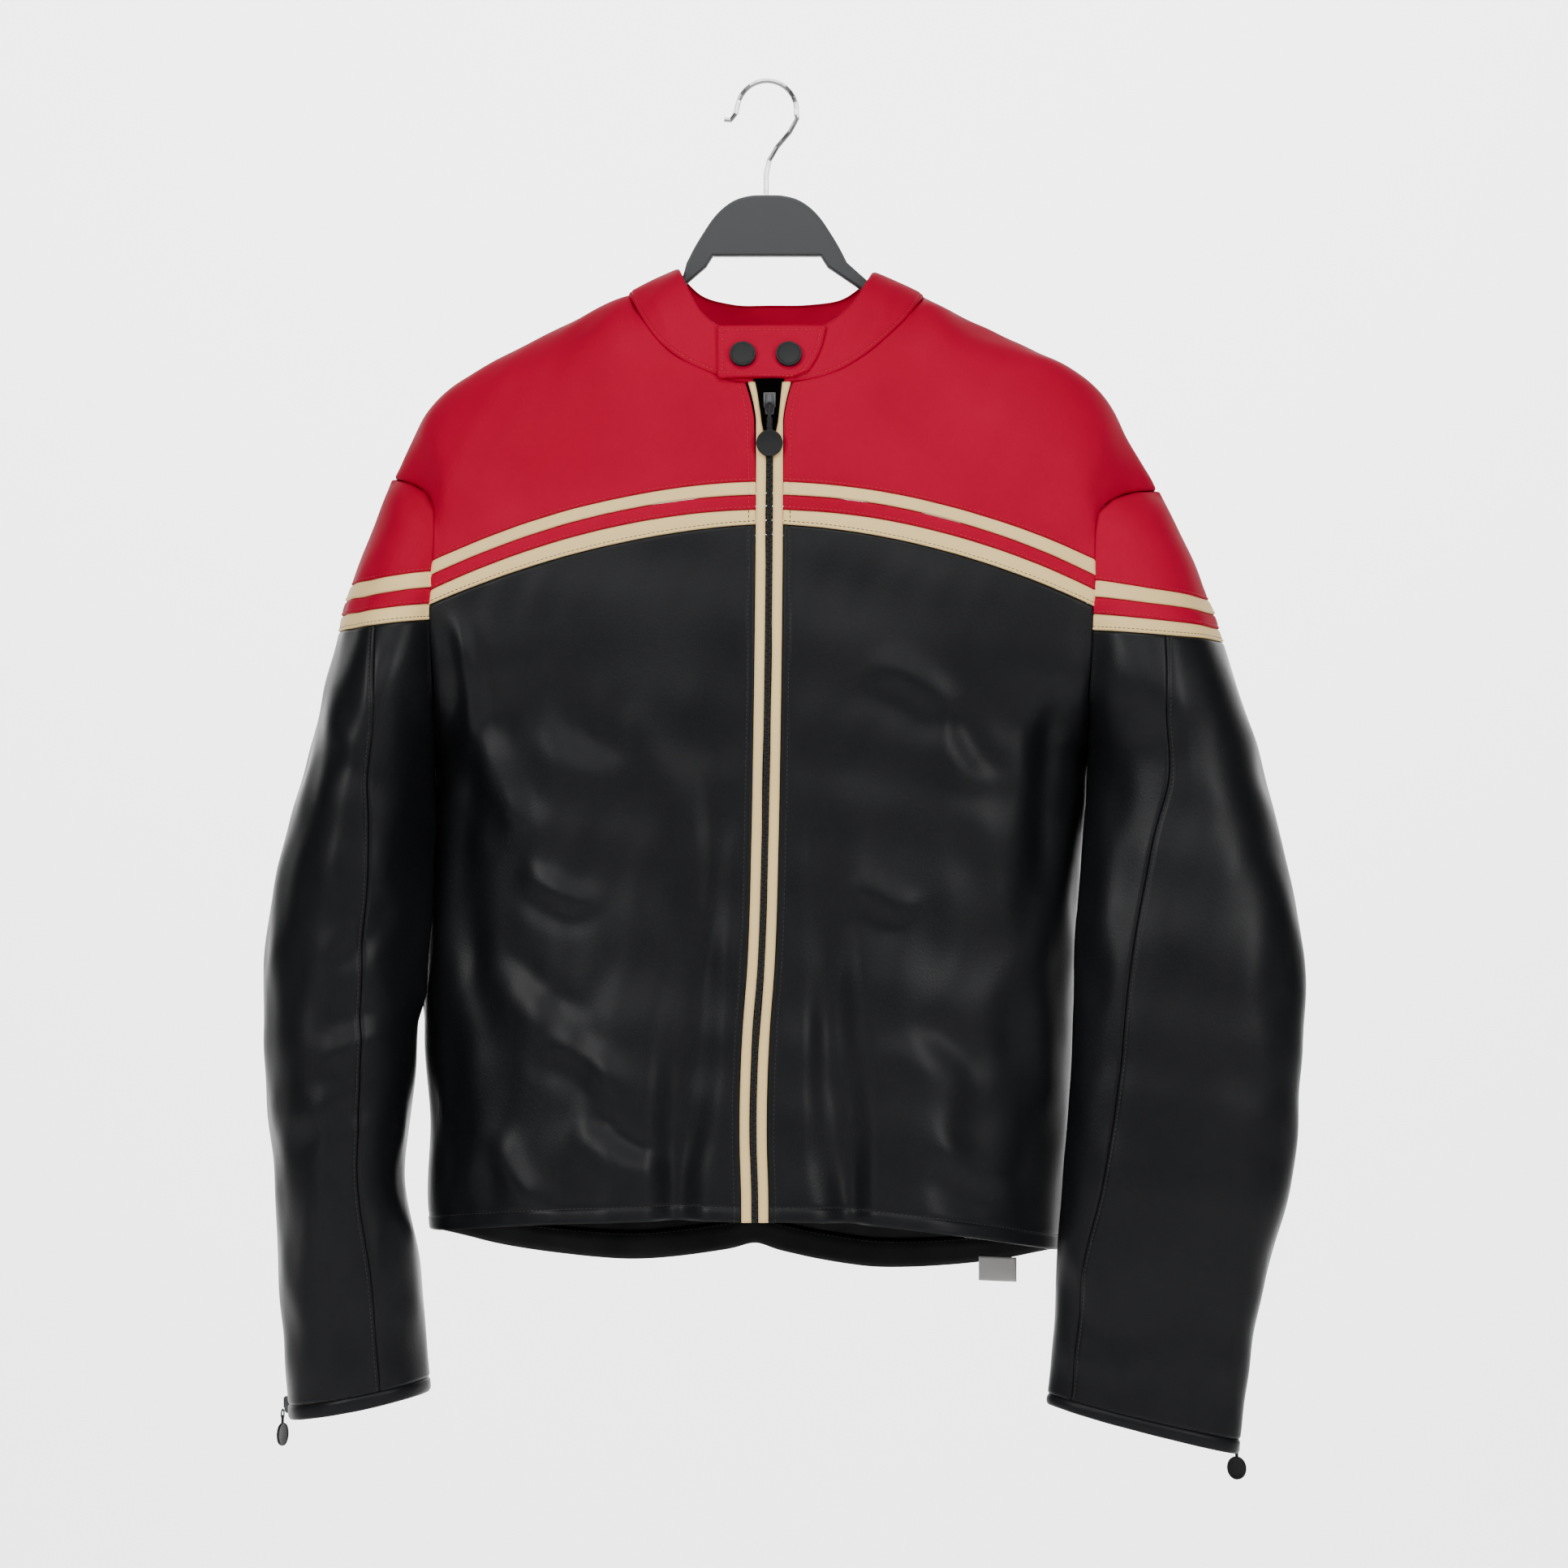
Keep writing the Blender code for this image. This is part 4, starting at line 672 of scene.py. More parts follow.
def sheet_surface(grid, other, column_at_of, sign):
    """Reads a whole sheet finely. Ghost rows and columns past its ends, taken from the sheet on the
    other side, make the surface bend over the shoulders and under the arms without a crease."""
    is_neck = np.abs(grid[0, :, 1]) > 0.5
    beyond_neck = np.stack([3 * grid[0] - 2 * grid[1], 2 * grid[0] - grid[1]])
    ghosts = np.where(is_neck[None, :, None], beyond_neck, np.stack([other[2], other[1]]))
    tall = np.concatenate([ghosts, grid])
    row_knots, column_knots = knots_of(grid, 0), knots_of(grid, 1)
    all_rows = knots_of(tall, 0)
    all_rows -= all_rows[2]
    wide = np.concatenate([2 * tall[:, :1] - tall[:, 1:2], tall, 2 * tall[:, -1:] - tall[:, -2:-1]], axis=1)
    below = np.clip((np.arange(len(grid)) - UNDERARM_ROW) / 4, 0, 1)[:, None]
    wide[2:, -1] += (other[:, -2] - wide[2:, -1]) * below
    if grid.shape[1] > len(ACROSS):
        wide[2:, 0] += (other[:, 1] - wide[2:, 0]) * below
    all_columns = np.concatenate([[-column_knots[1]], column_knots, [2 * column_knots[-1] - column_knots[-2]]])
    stripes_end = BAND_ROW + len(BAND_NAMES)
    row_at, pieces = fine_rows(row_knots, [0, *range(BAND_ROW, stripes_end + 1), len(row_knots) - 1],
                               ("yoke",) + BAND_NAMES + ("panel",), STEP, AT_HEM)
    column_at = column_at_of(column_knots[-1])
    points, normals = read_surface(wide, all_rows, all_columns, row_at, column_at, sign)
    edge = read_surface(wide, all_rows, all_columns, row_knots[:1], column_at, sign)[0][0]
    points = points + (true_edge(grid, column_knots, column_at) - edge) * bell(row_at, 24)[:, None, None]
    return points, normals, pieces, column_at, column_knots[-1]


def side_fade(column_at, width, first=14.0, last=16.0):
    """Creases die out towards the zip and the side seam."""
    return eased(np.clip(column_at / first, 0, 1) * np.clip((width - column_at) / last, 0, 1))


# The sleeves lie against the trunk down to this height, and each side swells towards the other by half the gap.
TOUCH_DOWN_TO = {RIGHT: -655, LEFT: -780}
TOUCHING = 0.6
MOST_SWELL = 9
MEET_ABOVE, MEET_ABOVE_FADE, MEET_BELOW_FADE = 40, 36, 30  # how far the swell runs past the underarm, and its ends
TRUNK_SWELL_REACH, SLEEVE_SWELL_REACH = 22, 24
OVERLAP, OVERLAP_REACH = 4.2, 9.0


def meeting(side, z):
    """How far the trunk and the sleeve each swell towards the other at a height, and how much they overlap in view."""
    body, (arm, closed) = coarse[FRONT, side][UNDERARM_ROW:, -1], sleeves[side]
    arm = arm[closed:, 0]
    apart = side * (np.interp(-z, -arm[:, 2], arm[:, 0]) - np.interp(-z, -body[:, 2], body[:, 0]))
    half = np.clip((apart - WALL - TOUCHING) / 2, 0, MOST_SWELL)
    above = np.clip((arm[0, 2] + MEET_ABOVE - z) / MEET_ABOVE_FADE, 0, 1)
    zone = (1 - eased(np.clip((TOUCH_DOWN_TO[side] - z) / MEET_BELOW_FADE + 1, 0, 1))) * above
    return half * zone, np.clip((apart + 2) / 4, 0, 1) * zone


def overlap(zone, away):
    """The extra swell beside the line where they touch, which closes the view between them."""
    return OVERLAP * zone[:, None] * (away / OVERLAP_REACH * np.exp(1 - away / OVERLAP_REACH))


# Above the slider the zip's edges spread apart: how far, from which height, and over how much height.
FLARE, FLARE_FROM, FLARE_OVER = 5.3, -238, 26


def flare(z):
    return FLARE * np.clip((z - FLARE_FROM) / FLARE_OVER, 0, 1) ** 1.5


for side, word in ((RIGHT, "right"), (LEFT, "left")):
    points, normals, pieces, column_at, width = sheet_surface(
        coarse[FRONT, side], coarse[BACK, side],
        lambda width: places(0, width - SEAM / 2, STEP, BESIDE_STITCH, NEAR_SEAM), side * FRONT)
    swell = meeting(side, points[:, -1, 2])[0][:, None] * bell(width - column_at, TRUNK_SWELL_REACH)
    swell = swell + flare(points[..., 2]) * bell(column_at, 11)
    points[..., 0] += side * swell
    for part, rows in pieces.items():
        body_panel(f"front_{part}_{word}", part, points[rows], normals[rows], side_fade(column_at, width),
                   FRONT_CREASES, stitched=[("first", ZIP_STITCH)], thread=THREAD.get(part))
print("front made:", len(sheets), "pieces")

# %% [markdown]
# ## The back
# The back isn't in the photograph. A jacket of this kind repeats the front's yoke and stripes there, in one
# piece across, so it is finished plainly in the same leathers.

# %% The back's pieces
BACK_STEP = 3.0
back_coarse, front_coarse = (np.concatenate([coarse[face, RIGHT][:, ::-1], coarse[face, LEFT][:, 1:]], axis=1)
                             for face in (BACK, FRONT))
points, normals, pieces, column_at, width = sheet_surface(
    back_coarse, front_coarse, lambda width: places(SEAM / 2, width - SEAM / 2, BACK_STEP), 1)
for side, away, edge in ((RIGHT, column_at, 0), (LEFT, width - column_at, -1)):
    met, zone = meeting(side, points[:, edge, 2])
    points[..., 0] += side * (met[:, None] * bell(away, TRUNK_SWELL_REACH) + overlap(zone, away))
back_fade = side_fade(column_at, width, 16)
back = points, normals, column_at
for part, rows in pieces.items():
    body_panel(f"back_{part}", part, points[rows], normals[rows], back_fade, BACK_CREASES)
print("back made:", len(sheets), "pieces so far")

# %% [markdown]
# ## The sleeves
# The outer half and the inner half of each sleeve are sewn along a front and a back seam, with stitches on the
# outer half. The red cap and the stripes go round the arm, and the cuff is turned up and sewn.

# %% The sleeves' pieces
SLEEVE_STEP = 2.8
SLEEVE_STITCH = 2.6
AT_SLEEVE_EDGE = (0, 0.35, 0.8, 1.6, 2.6, 4)
TUCK, CORNER_TUCK = 2.4, 1.2  # how far a sleeve's open edge goes in under the body, and more at its corner
EVENED_OVER, EVENED_BY = 55, 26  # height over which a sleeve is evened out where it closes, and the reach of each mean
FADE_BELOW_CAP, FADE_BY_OPENING, FADE_PAST_OPENING = 40, 25, 30  # where a sleeve's creases start
BACK_CREASE = 0.1  # share of a crease's height that is left behind the arm


def evened(points, row_at, centre, edge_away):
    """The same surface, evened out down its length near one row, and left as it is at its edges."""
    kernel = bell(row_at[:, None] - row_at, EVENED_BY) * np.gradient(row_at)
    even = np.tensordot(kernel / kernel.sum(axis=1, keepdims=True), points[..., :2], axes=1)
    share = bell(row_at - centre, EVENED_OVER)[:, None] * (1 - bell(edge_away, 20))
    points = points.copy()
    points[..., :2] += (even - points[..., :2]) * share[..., None]
    return points


def sleeve_surface(side):
    """Reads a sleeve finely: its points, normals, fade and tuck, its rows by piece, and where its seams lie."""
    grid, closed = sleeves[side]
    row_knots, column_knots = knots_of(grid, 0), knots_of(grid[closed:], 1)
    first, last = 2 * grid[:, :1] - grid[:, 1:2], 2 * grid[:, -1:] - grid[:, -2:-1]
    first[closed:], last[closed:] = grid[closed:, -2:-1], grid[closed:, 1:2]
    width = column_knots[-1]
    all_columns = np.concatenate([[column_knots[-2] - width], column_knots, [width + column_knots[1]]])
    cuff = len(row_knots) - 2
    row_at, pieces = fine_rows(row_knots, [0, *range(CAP_BAND_ROW, CAP_BLACK_ROW + 1), cuff, cuff + 1],
                               ("cap",) + BAND_NAMES + ("tube", "cuff"), SLEEVE_STEP)
    seam_front, seam_back = column_knots[INNER_COLUMNS], column_knots[INNER_COLUMNS + OUTER_COLUMNS]
    parts = [places(0, seam_front - SEAM / 2, SLEEVE_STEP, AT_SLEEVE_EDGE, NEAR_SEAM),
             places(seam_front + SEAM / 2, seam_back - SEAM / 2, SLEEVE_STEP, BESIDE_STITCH, BESIDE_STITCH),
             places(seam_back + SEAM / 2, width, SLEEVE_STEP, NEAR_SEAM, AT_SLEEVE_EDGE)]
    column_at = np.concatenate(parts)
    points, normals = read_surface(np.concatenate([first, grid, last], axis=1), row_knots, all_columns,
                                   row_at, column_at, -side)
    shut = row_at >= row_knots[closed]
    points[shut, 0] = points[shut, -1] = (points[shut, 0] + points[shut, -1]) / 2
    normals[shut, 0] = normals[shut, -1] = unit(normals[shut, 0] + normals[shut, -1])
    away = np.minimum(column_at, width - column_at)
    points = evened(points, row_at, row_knots[closed], away)
    met, zone = meeting(side, points[:, 0, 2])
    points[..., 0] -= side * (met[:, None] * bell(away, SLEEVE_SWELL_REACH) + overlap(zone, column_at))
    zip_column = int(np.argmin(np.abs(column_at - column_knots[INNER_COLUMNS + OUTER_COLUMNS // 2 + 1])))
    zip_rows = row_at > row_at[-1] - CUFF_ZIP_LENGTH
    beside = unit(points[zip_rows, zip_column + 1] - points[zip_rows, zip_column - 1])
    cuff_lines[side] = points[zip_rows, zip_column], normals[zip_rows, zip_column], beside
    is_open = np.clip((row_knots[closed] - row_at) / 12, 0, 1)[:, None]
    from_top = (row_at - row_at[0])[:, None]
    inward = np.maximum(bell(away, 1.5) * is_open, bell(from_top, 1.5))
    points[..., 0] -= side * TUCK * inward * (1 + CORNER_TUCK * bell(from_top, 9) * bell(away, 9))
    below = np.clip((row_at - row_knots[1]) / FADE_BELOW_CAP, 0, 1)[:, None]
    is_near = (row_at < row_knots[closed] + FADE_PAST_OPENING)[:, None]
    fade = below * np.where(is_near, np.clip(away / FADE_BY_OPENING, 0, 1), 1.0)
    fade = fade * (BACK_CREASE + (1 - BACK_CREASE) * np.clip(0.5 - normals[..., 1] * 2.5, 0, 1))
    return (points, normals, fade, 1.2 * inward), pieces, shut, len(parts[0]), len(parts[0]) + len(parts[1])


CUFF_ZIP_LENGTH, CUFF_ZIP_HALF = 95, 4.0
cuff_lines = {}
for side, word in ((RIGHT, "right"), (LEFT, "left")):
    fine, pieces, shut, a, b = sleeve_surface(side)
    creases, width = SLEEVE_CREASES[side], fine[0].shape[1]
    for part in ("cap",) + BAND_NAMES:
        points, normals, fade, tuck = (values[pieces[part]] for values in fine)
        body_panel(f"sleeve_{part}_{word}", part, points, normals, fade, creases, ["top"] if part != "cap" else [],
                   thread=THREAD.get(part), tuck=tuck)
    points, normals, fade, tuck = (values[pieces["tube"]] for values in fine)
    panel(f"sleeve_top_{word}", points[:, a:b], normals[:, a:b], "black_leather",
          stitched=[("first", SLEEVE_STITCH), ("last", SLEEVE_STITCH)], fade=fade[:, a:b], creases=creases)
    order, joint = [*range(b, width), *range(a)], width - b
    index = np.arange(len(points) * len(order)).reshape(len(points), -1)
    shut = shut[pieces["tube"]]
    index[shut, joint] = index[shut, joint - 1]
    panel(f"sleeve_under_{word}", points[:, order], normals[:, order], "black_leather", fade=fade[:, order],
          creases=creases, index=index, drop_column=joint - 1, tuck=tuck[:, order])
    points, normals, fade, tuck = (values[pieces["cuff"]] for values in fine)
    index = np.arange(len(points) * width).reshape(len(points), -1)
    index[:, -1] = index[:, 0]
    panel(f"cuff_band_{word}", points, normals, "black_leather", ["top", "foot"], fade=fade, creases=creases,
          index=index, puff=0.3)
print("sleeves made:", len(sheets), "pieces so far")

# %% [markdown]
# ## The collar and its tab
# The collar is a standing band sewn to the neckline. A short tab crosses its open front and closes with two snaps.

# %% Sizes of the collar and tab
# Collar: (x, z) of its top edge at each column of the front neckline, then of the back one.
COLLAR_TOP = {
    (FRONT, RIGHT): ((-10, -175), (-22, -174), (-33, -171), (-43, -163), (-50, -152), (-56, -140),
                     (-60, -129)),
    (FRONT, LEFT): ((11, -175), (25, -175), (38, -172), (50, -164), (59, -154), (66, -143), (72, -132)),
    (BACK, RIGHT): ((-3, -150), (-18, -150), (-31, -148), (-42, -145), (-50, -140), (-56, -134)),
    (BACK, LEFT): ((-3, -150), (21, -150), (36, -149), (49, -147), (58, -143), (65, -138)),
}
COLLAR_ROWS = 4
COLLAR_ROWS = 4
COLLAR_LEAN = 0.8  # the top edge's y as a share of the base's
COLLAR_STITCH, TAB_STITCH = 2.6, 3.4
TAB_X = (-33, -24, -12, 2, 16, 28, 40)
TAB_TOP, TAB_FOOT = -173.5, -209.5
TAB_ARC = 25  # how far the tab's end is cut back at its foot
TAB_WALL = 3.0
SNAP_RADIUS, SNAP_HEIGHT, SNAP_SUNK = 8.8, 3.0, 0.35
LOOSE = 0.8

# %% The collar
path = [(FRONT, RIGHT, c) for c in range(NECK_COLUMN + 1)] + [(BACK, RIGHT, c) for c in range(NECK_COLUMN - 1, 0, -1)]
path += [(BACK, LEFT, c) for c in range(NECK_COLUMN)] + [(FRONT, LEFT, c) for c in range(NECK_COLUMN, -1, -1)]
base = np.array([coarse[face, side][0, c] for face, side, c in path])
top = np.array([COLLAR_TOP[face, side][c] for face, side, c in path])
top = np.stack([top[:, 0], base[:, 1] * COLLAR_LEAN, top[:, 1]], axis=1)
grid = top + (base - top) * np.linspace(0, 1, COLLAR_ROWS)[:, None, None]
row_knots, column_knots = knots_of(grid, 0), knots_of(grid, 1)
row_at = places(0, row_knots[-1], 2.2, (0, 0.4, 0.9, 1.5, 2.2, 3.0), (0, 0.4, 0.9, 1.5, 2.1, 2.6, 3.1, 3.8))
points, normals = read_surface(grid, row_knots, column_knots, row_at, places(0, column_knots[-1], 2.2), 1)
bulge = 1.2 * np.sin(np.pi * np.linspace(0, 1, len(points)))
points = points + normals * bulge[:, None, None]
panel("collar", points, normals, "red_leather", stitched=[("foot", COLLAR_STITCH)], creases=COLLAR_CREASES,
      thick=COLLAR_WALL, waves=0.6)
print("collar made, round its base:", round(float(lengths(points, 1)[-1, -1])), "mm")

# %% The tab
rows = []
for z, share in ((TAB_TOP, 0.05), ((TAB_TOP + TAB_FOOT) / 2, 0.5), (TAB_FOOT, 0.97)):
    level = share * (COLLAR_ROWS - 1)
    low = min(int(level), COLLAR_ROWS - 2)
    line = grid[low] * (1 - level + low) + grid[low + 1] * (level - low)
    line = np.array(sorted(tuple(p) for p in line if p[1] < 0))
    rows.append([(x, np.interp(x, line[:, 0], line[:, 1]), z) for x in TAB_X])
tab_grid = np.array(rows, float)
tab_rows, tab_columns = knots_of(tab_grid, 0), knots_of(tab_grid, 1)
AT_TAB = (0, 0.3, 0.7, 1.2, 2.0, 2.8, 3.4, 4.0, 4.8)
row_at, column_at = (places(0, knots[-1], 1.8, AT_TAB, AT_TAB) for knots in (tab_rows, tab_columns))
tab_points, tab_normals = read_surface(tab_grid, tab_rows, tab_columns, row_at, column_at, -1)
tab_points = tab_points + tab_normals * (COLLAR_WALL / 2 + 2 * LOOSE + TAB_WALL / 2)
cut_back = TAB_ARC * np.linspace(0, 1, len(tab_points))[:, None] ** 2.5
tab_points[..., 0] -= (tab_points[..., 0] - TAB_X[0]) * cut_back / (TAB_X[-1] - TAB_X[0])
panel("collar_tab", tab_points, tab_normals, "red_leather", stitched=[(edge, TAB_STITCH) for edge in ALL_EDGES],
      thick=TAB_WALL, waves=0.3)
print("tab", [round(v) for v in (tab_columns[-1], tab_rows[-1])], "mm")

# %% [markdown]
# ## The zip
# Cream binding covers the zip's tapes on both sides. It puckers a little between its stitches. The teeth mesh
# between the bindings, and above the slider the two sides part.

# %% Sizes of the zip
# Half the gap between the two zip bindings, by height: the zip stands open above its slider.
ZIP_GAP_Z, ZIP_GAP_HALF = (-806, -262, -248, -238, -228, -205), (2.3, 2.3, 3.4, 5.4, 6.0, 6.6)
INNER_SPREAD = {RIGHT: 0.6, LEFT: 0.35}  # share of the flare that a binding's inner edge takes
DOME, PUCKER, PUCKER_PITCH = 0.55, 0.22, 6.3
CHAIN_HALF = 1.9
SLIDER_Z, SLIDER_SIZE = -226, (6.4, 8.6, 15)
PULL_DISC_RADIUS, PULL_THICK, PULL_BAR = 9.0, 1.8, 4.2
PULL_REACH = 27  # from the pivot to the disc's middle
TRIM_WALL = 1.6


def distances(line):
    """Distance along a line of points, from its start."""
    return np.concatenate([[0], np.cumsum(np.linalg.norm(np.diff(line, axis=0), axis=1))])

# %% The bindings
edge = (coarse[FRONT, RIGHT][:, 0, 1:] + coarse[FRONT, LEFT][:, 0, 1:]) / 2
way = distances(edge)
at = places(0, way[-1], 1.5)
zip_y, zip_z = (spline_weights(way, at) @ edge).T
zip_x = np.array([float(between(TORSO, "zip", z)) for z in zip_z])
zip_line = np.stack([zip_x, zip_y, zip_z], axis=1)
zip_normal = unit(np.cross(np.gradient(zip_line, axis=0), [1, 0, 0]))
gap = np.interp(zip_z, ZIP_GAP_Z, ZIP_GAP_HALF)
shares = np.array([0, 0.06, 0.14, 0.26, 0.4, 0.55, 0.7, 0.82, 0.9, 0.95, 1])
dome = DOME * np.sin(np.pi * shares) ** 0.6
for side, word in ((RIGHT, "right"), (LEFT, "left")):
    lean = 0.25 * np.sin(at / 31 + side) + 0.15 * np.sin(at / 13)
    inner_x = zip_x + side * (gap + np.maximum(lean, 0) + flare(zip_z) * INNER_SPREAD[side])
    outer_x = zip_x + side * (BINDING_INNER + flare(zip_z))
    points = np.repeat(zip_line[:, None], len(shares), axis=1)
    points[..., 0] = inner_x[:, None] + (outer_x - inner_x)[:, None] * shares
    normals = np.repeat(zip_normal[:, None], len(shares), axis=1)
    wave = np.sin(at * 2 * math.pi / PUCKER_PITCH + 1.3 * np.sin(at / 17) + side)
    pucker = PUCKER * (wave[:, None] * bell(shares - 0.72, 0.25))
    panel(f"zip_binding_{word}", points + normals * (dome + pucker)[..., None], normals, "cream_leather", waves=0.0)
print("bindings", round(float(way[-1])), "mm long")

# %% The tape and the teeth
CHAIN_TOP = SLIDER_Z - SLIDER_SIZE[2] / 2 - SEAM
TOOTH_PITCH = 2.1
TOOTH_ASIDE = 0.45
TOOTH_HALF = np.array([1.2, 0.62, 0.7])
TOOTH_CORNERS = np.array([(x, y, z) for x in (-1, 1) for y in (-1, 1) for z in (-1, 1)])
TOOTH_FACES = [(0, 1, 3, 2), (4, 6, 7, 5), (0, 4, 5, 1), (2, 3, 7, 6), (0, 2, 6, 4), (1, 5, 7, 3)]
tapes, teeth = [], []


def tape_and_teeth(word, line, outs, tape, over, under, teeth_name, lift):
    """A zip's tape, and small blocks down its line, in turn a little to either side, as closed teeth lie."""
    tapes.append(shell("shell_" + word, tape + outs[:, None] * over, tape + outs[:, None] * under))
    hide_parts(word)
    way = distances(line)
    vertices, faces = [], []
    for k, spot in enumerate(np.arange(1, way[-1] - 1, TOOTH_PITCH)):
        at = read_line(line, way, spot)
        along, out = unit(read_line(line, way, spot + 1) - at), unit(read_line(outs, way, spot))
        beside = np.cross(along, out)
        centre = at + out * lift + beside * (TOOTH_ASIDE if k % 2 else -TOOTH_ASIDE)
        vertices.append(centre + TOOTH_CORNERS * TOOTH_HALF @ np.array([beside, along, out]))
        faces += [tuple(k * 8 + i for i in face) for face in TOOTH_FACES]
    teeth.append(mesh_of(teeth_name, np.concatenate(vertices), faces))
    print(teeth_name, "has", len(vertices), "teeth")


below = zip_z < CHAIN_TOP
line, outs = zip_line[below], zip_normal[below]
tape = line[:, None] + np.array([-CHAIN_HALF, 0, CHAIN_HALF])[:, None] * np.array([1, 0, 0])
tape_and_teeth("zip_chain", line, outs, tape, 0.3, -0.7, "zip_teeth", 0.75)

# %% [markdown]
# ## The cuffs' zips
# Each cuff has a short zip up its outer back, so that it can close over a glove or open to let a hand through.

# %% The cuffs' tapes and teeth
CUFF_SLIDER_SIZE = (4.0, 7.0, 12)
CUFF_DISC_RADIUS, CUFF_PULL_REACH = 8.0, 17
offsets = np.array([-CUFF_ZIP_HALF, -1.5, 0, 1.5, CUFF_ZIP_HALF])[:, None]
lift = np.array([0.9, 1.5, 1.6, 1.5, 0.9])[:, None]
for side, word in ((RIGHT, "right"), (LEFT, "left")):
    line, outs, beside = cuff_lines[side]
    tape = line[:, None] + beside[:, None] * offsets
    tape_and_teeth(f"cuff_zip_{word}", line, outs, tape, lift + 0.5, lift - 0.5, f"cuff_teeth_{word}", 2.4)

# %% [markdown]
# ## The strip inside the back hem
# Below the front's hem the inside of the back shows: a strip of black leather, turned up and stitched, and a
# plain woven label sewn to it.

# %% The strip and the label
FACING_HEIGHT = 20
LABEL_X, LABEL_Z, LABEL_SIZE = 161, -822, (26, 17)
LABEL_LIFT, LABEL_THICK = 1.3, 0.5
points, normals, column_at = back
height = (crease_height(BACK_CREASES, points[..., 0], points[..., 2]) + unevenness(points)) * back_fade
from_hem = (lengths(points, 0)[-1:] - lengths(points, 0)).mean(axis=1)
rows = (from_hem < FACING_HEIGHT) & (from_hem > 0.3)
columns = (column_at > 12) & (column_at < column_at[-1] - 12)
depth = WALL / 2 + LOOSE + TRIM_WALL / 2
strip = (points + normals * (height - depth)[..., None])[rows][:, columns]
panel("back_hem_facing", strip, -normals[rows][:, columns], "black_leather", stitched=[("top", 2.4)],
      thick=TRIM_WALL, waves=0.0)
across_label = np.linspace(-0.5, 0.5, 15) * LABEL_SIZE[0] + LABEL_X
down_label = (LABEL_Z - np.linspace(-0.5, 0.5, 11) * LABEL_SIZE[1])[:, None]
hem_y = np.interp(across_label, strip[-1, :, 0], strip[-1, :, 1])
folds = np.array([0, 0.25] + [0.1] * 11 + [0.25, 0]) + 0.15 * np.sin(down_label / 2.7)
label_grid = np.stack(np.broadcast_arrays(across_label, hem_y - LABEL_LIFT - folds, down_label), axis=-1)
label = shell("shell_hem_label", label_grid, label_grid + np.array([0, LABEL_THICK, 0]))
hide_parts("hem_label")
print("strip", round(float(lengths(strip, 1)[0, -1])), "mm long")

# %% [markdown]
# ## Snaps, sliders and pulls
# These are small hard pieces, cast and enamelled. Each starts as a primitive, is shaped in edit mode, and gets
# eased edges from a Bevel modifier, because real edges always catch a little light.

# %% Tools for hard pieces
import bmesh


def only(*pieces):
    """Selects these pieces and nothing else, the first one active."""
    bpy.ops.object.select_all(action="DESELECT")
    for piece in pieces:
        piece.select_set(True)
    bpy.context.view_layer.objects.active = pieces[0]


def choose_faces(piece, test):
    """In edit mode, selects the faces that pass a test on centre and normal."""
    bpy.ops.mesh.select_mode(type="FACE")
    bpy.ops.mesh.select_all(action="DESELECT")
    mesh = bmesh.from_edit_mesh(piece.data)
    for face in mesh.faces:
        face.select_set(test(face.calc_center_median(), face.normal))
    bmesh.update_edit_mesh(piece.data)


def apply_place(piece):
    """Applies a piece's place, turn and size to its mesh."""
    only(piece)
    bpy.ops.object.transform_apply(location=True, rotation=True, scale=True)


def started(name):
    piece = bpy.context.active_object
    piece.name = piece.data.name = name
    return piece


def ease(piece, width):
    """Back in object mode, rounds a piece's sharp edges with a Bevel modifier and applies it."""
    bpy.ops.object.mode_set(mode="OBJECT")
    only(piece)
    edge = piece.modifiers.new("Bevel", "BEVEL")
    edge.width, edge.segments, edge.limit_method = width * MM, 2, "ANGLE"
    bpy.ops.object.modifier_apply(modifier="Bevel")
    bpy.ops.object.shade_smooth_by_angle(angle=math.radians(40))
    return piece


def disc(name, radius, thick, rim):
    """A round cap: a raised rim round a slightly sunk middle."""
    bpy.ops.mesh.primitive_cylinder_add(vertices=56, radius=radius * MM, depth=thick * MM)
    piece = started(name)
    bpy.ops.object.mode_set(mode="EDIT")
    for side in (1, -1):
        choose_faces(piece, lambda centre, normal: normal.z * side > 0.9)
        bpy.ops.mesh.inset(thickness=rim * MM)
        bpy.ops.mesh.inset(thickness=0.35 * MM, depth=-0.3 * MM)
    return ease(piece, 0.3)


def bar(name, size, centre=(0, 0, 0), width=0.5, taper=1.0):
    """A cast bar: a cube at its size, narrowed at its foot, with eased edges."""
    bpy.ops.mesh.primitive_cube_add(size=1, location=[v * MM for v in centre], scale=[v * MM for v in size])
    piece = started(name)
    apply_place(piece)
    bpy.ops.object.mode_set(mode="EDIT")
    choose_faces(piece, lambda middle, normal: normal.z < -0.9)
    bpy.ops.transform.resize(value=(1, taper, 1))
    return ease(piece, width)


def ring(name, radius, wire, stretch, centre):
    """A wire loop, longer than it is wide, standing in the plane across the way that it faces."""
    bpy.ops.mesh.primitive_torus_add(major_radius=radius * MM, minor_radius=wire * MM, major_segments=36,
                                     minor_segments=10, rotation=(0, math.pi / 2, 0), location=[v * MM for v in centre])
    piece = started(name)
    piece.scale = (stretch, 1, 1)
    apply_place(piece)
    bpy.ops.object.shade_smooth()
    return piece


def settle(pieces, node, place, body="jacket"):
    """Joins pieces made at the origin into one and moves it to its place, which stays in its mesh."""
    only(*pieces)
    if len(pieces) > 1:
        bpy.ops.object.join()
    piece = started(node + "_dressed")
    piece.matrix_world = place
    apply_place(piece)
    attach(piece, body)
    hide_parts(node)
    hardware.append(piece)


print("tools ready")

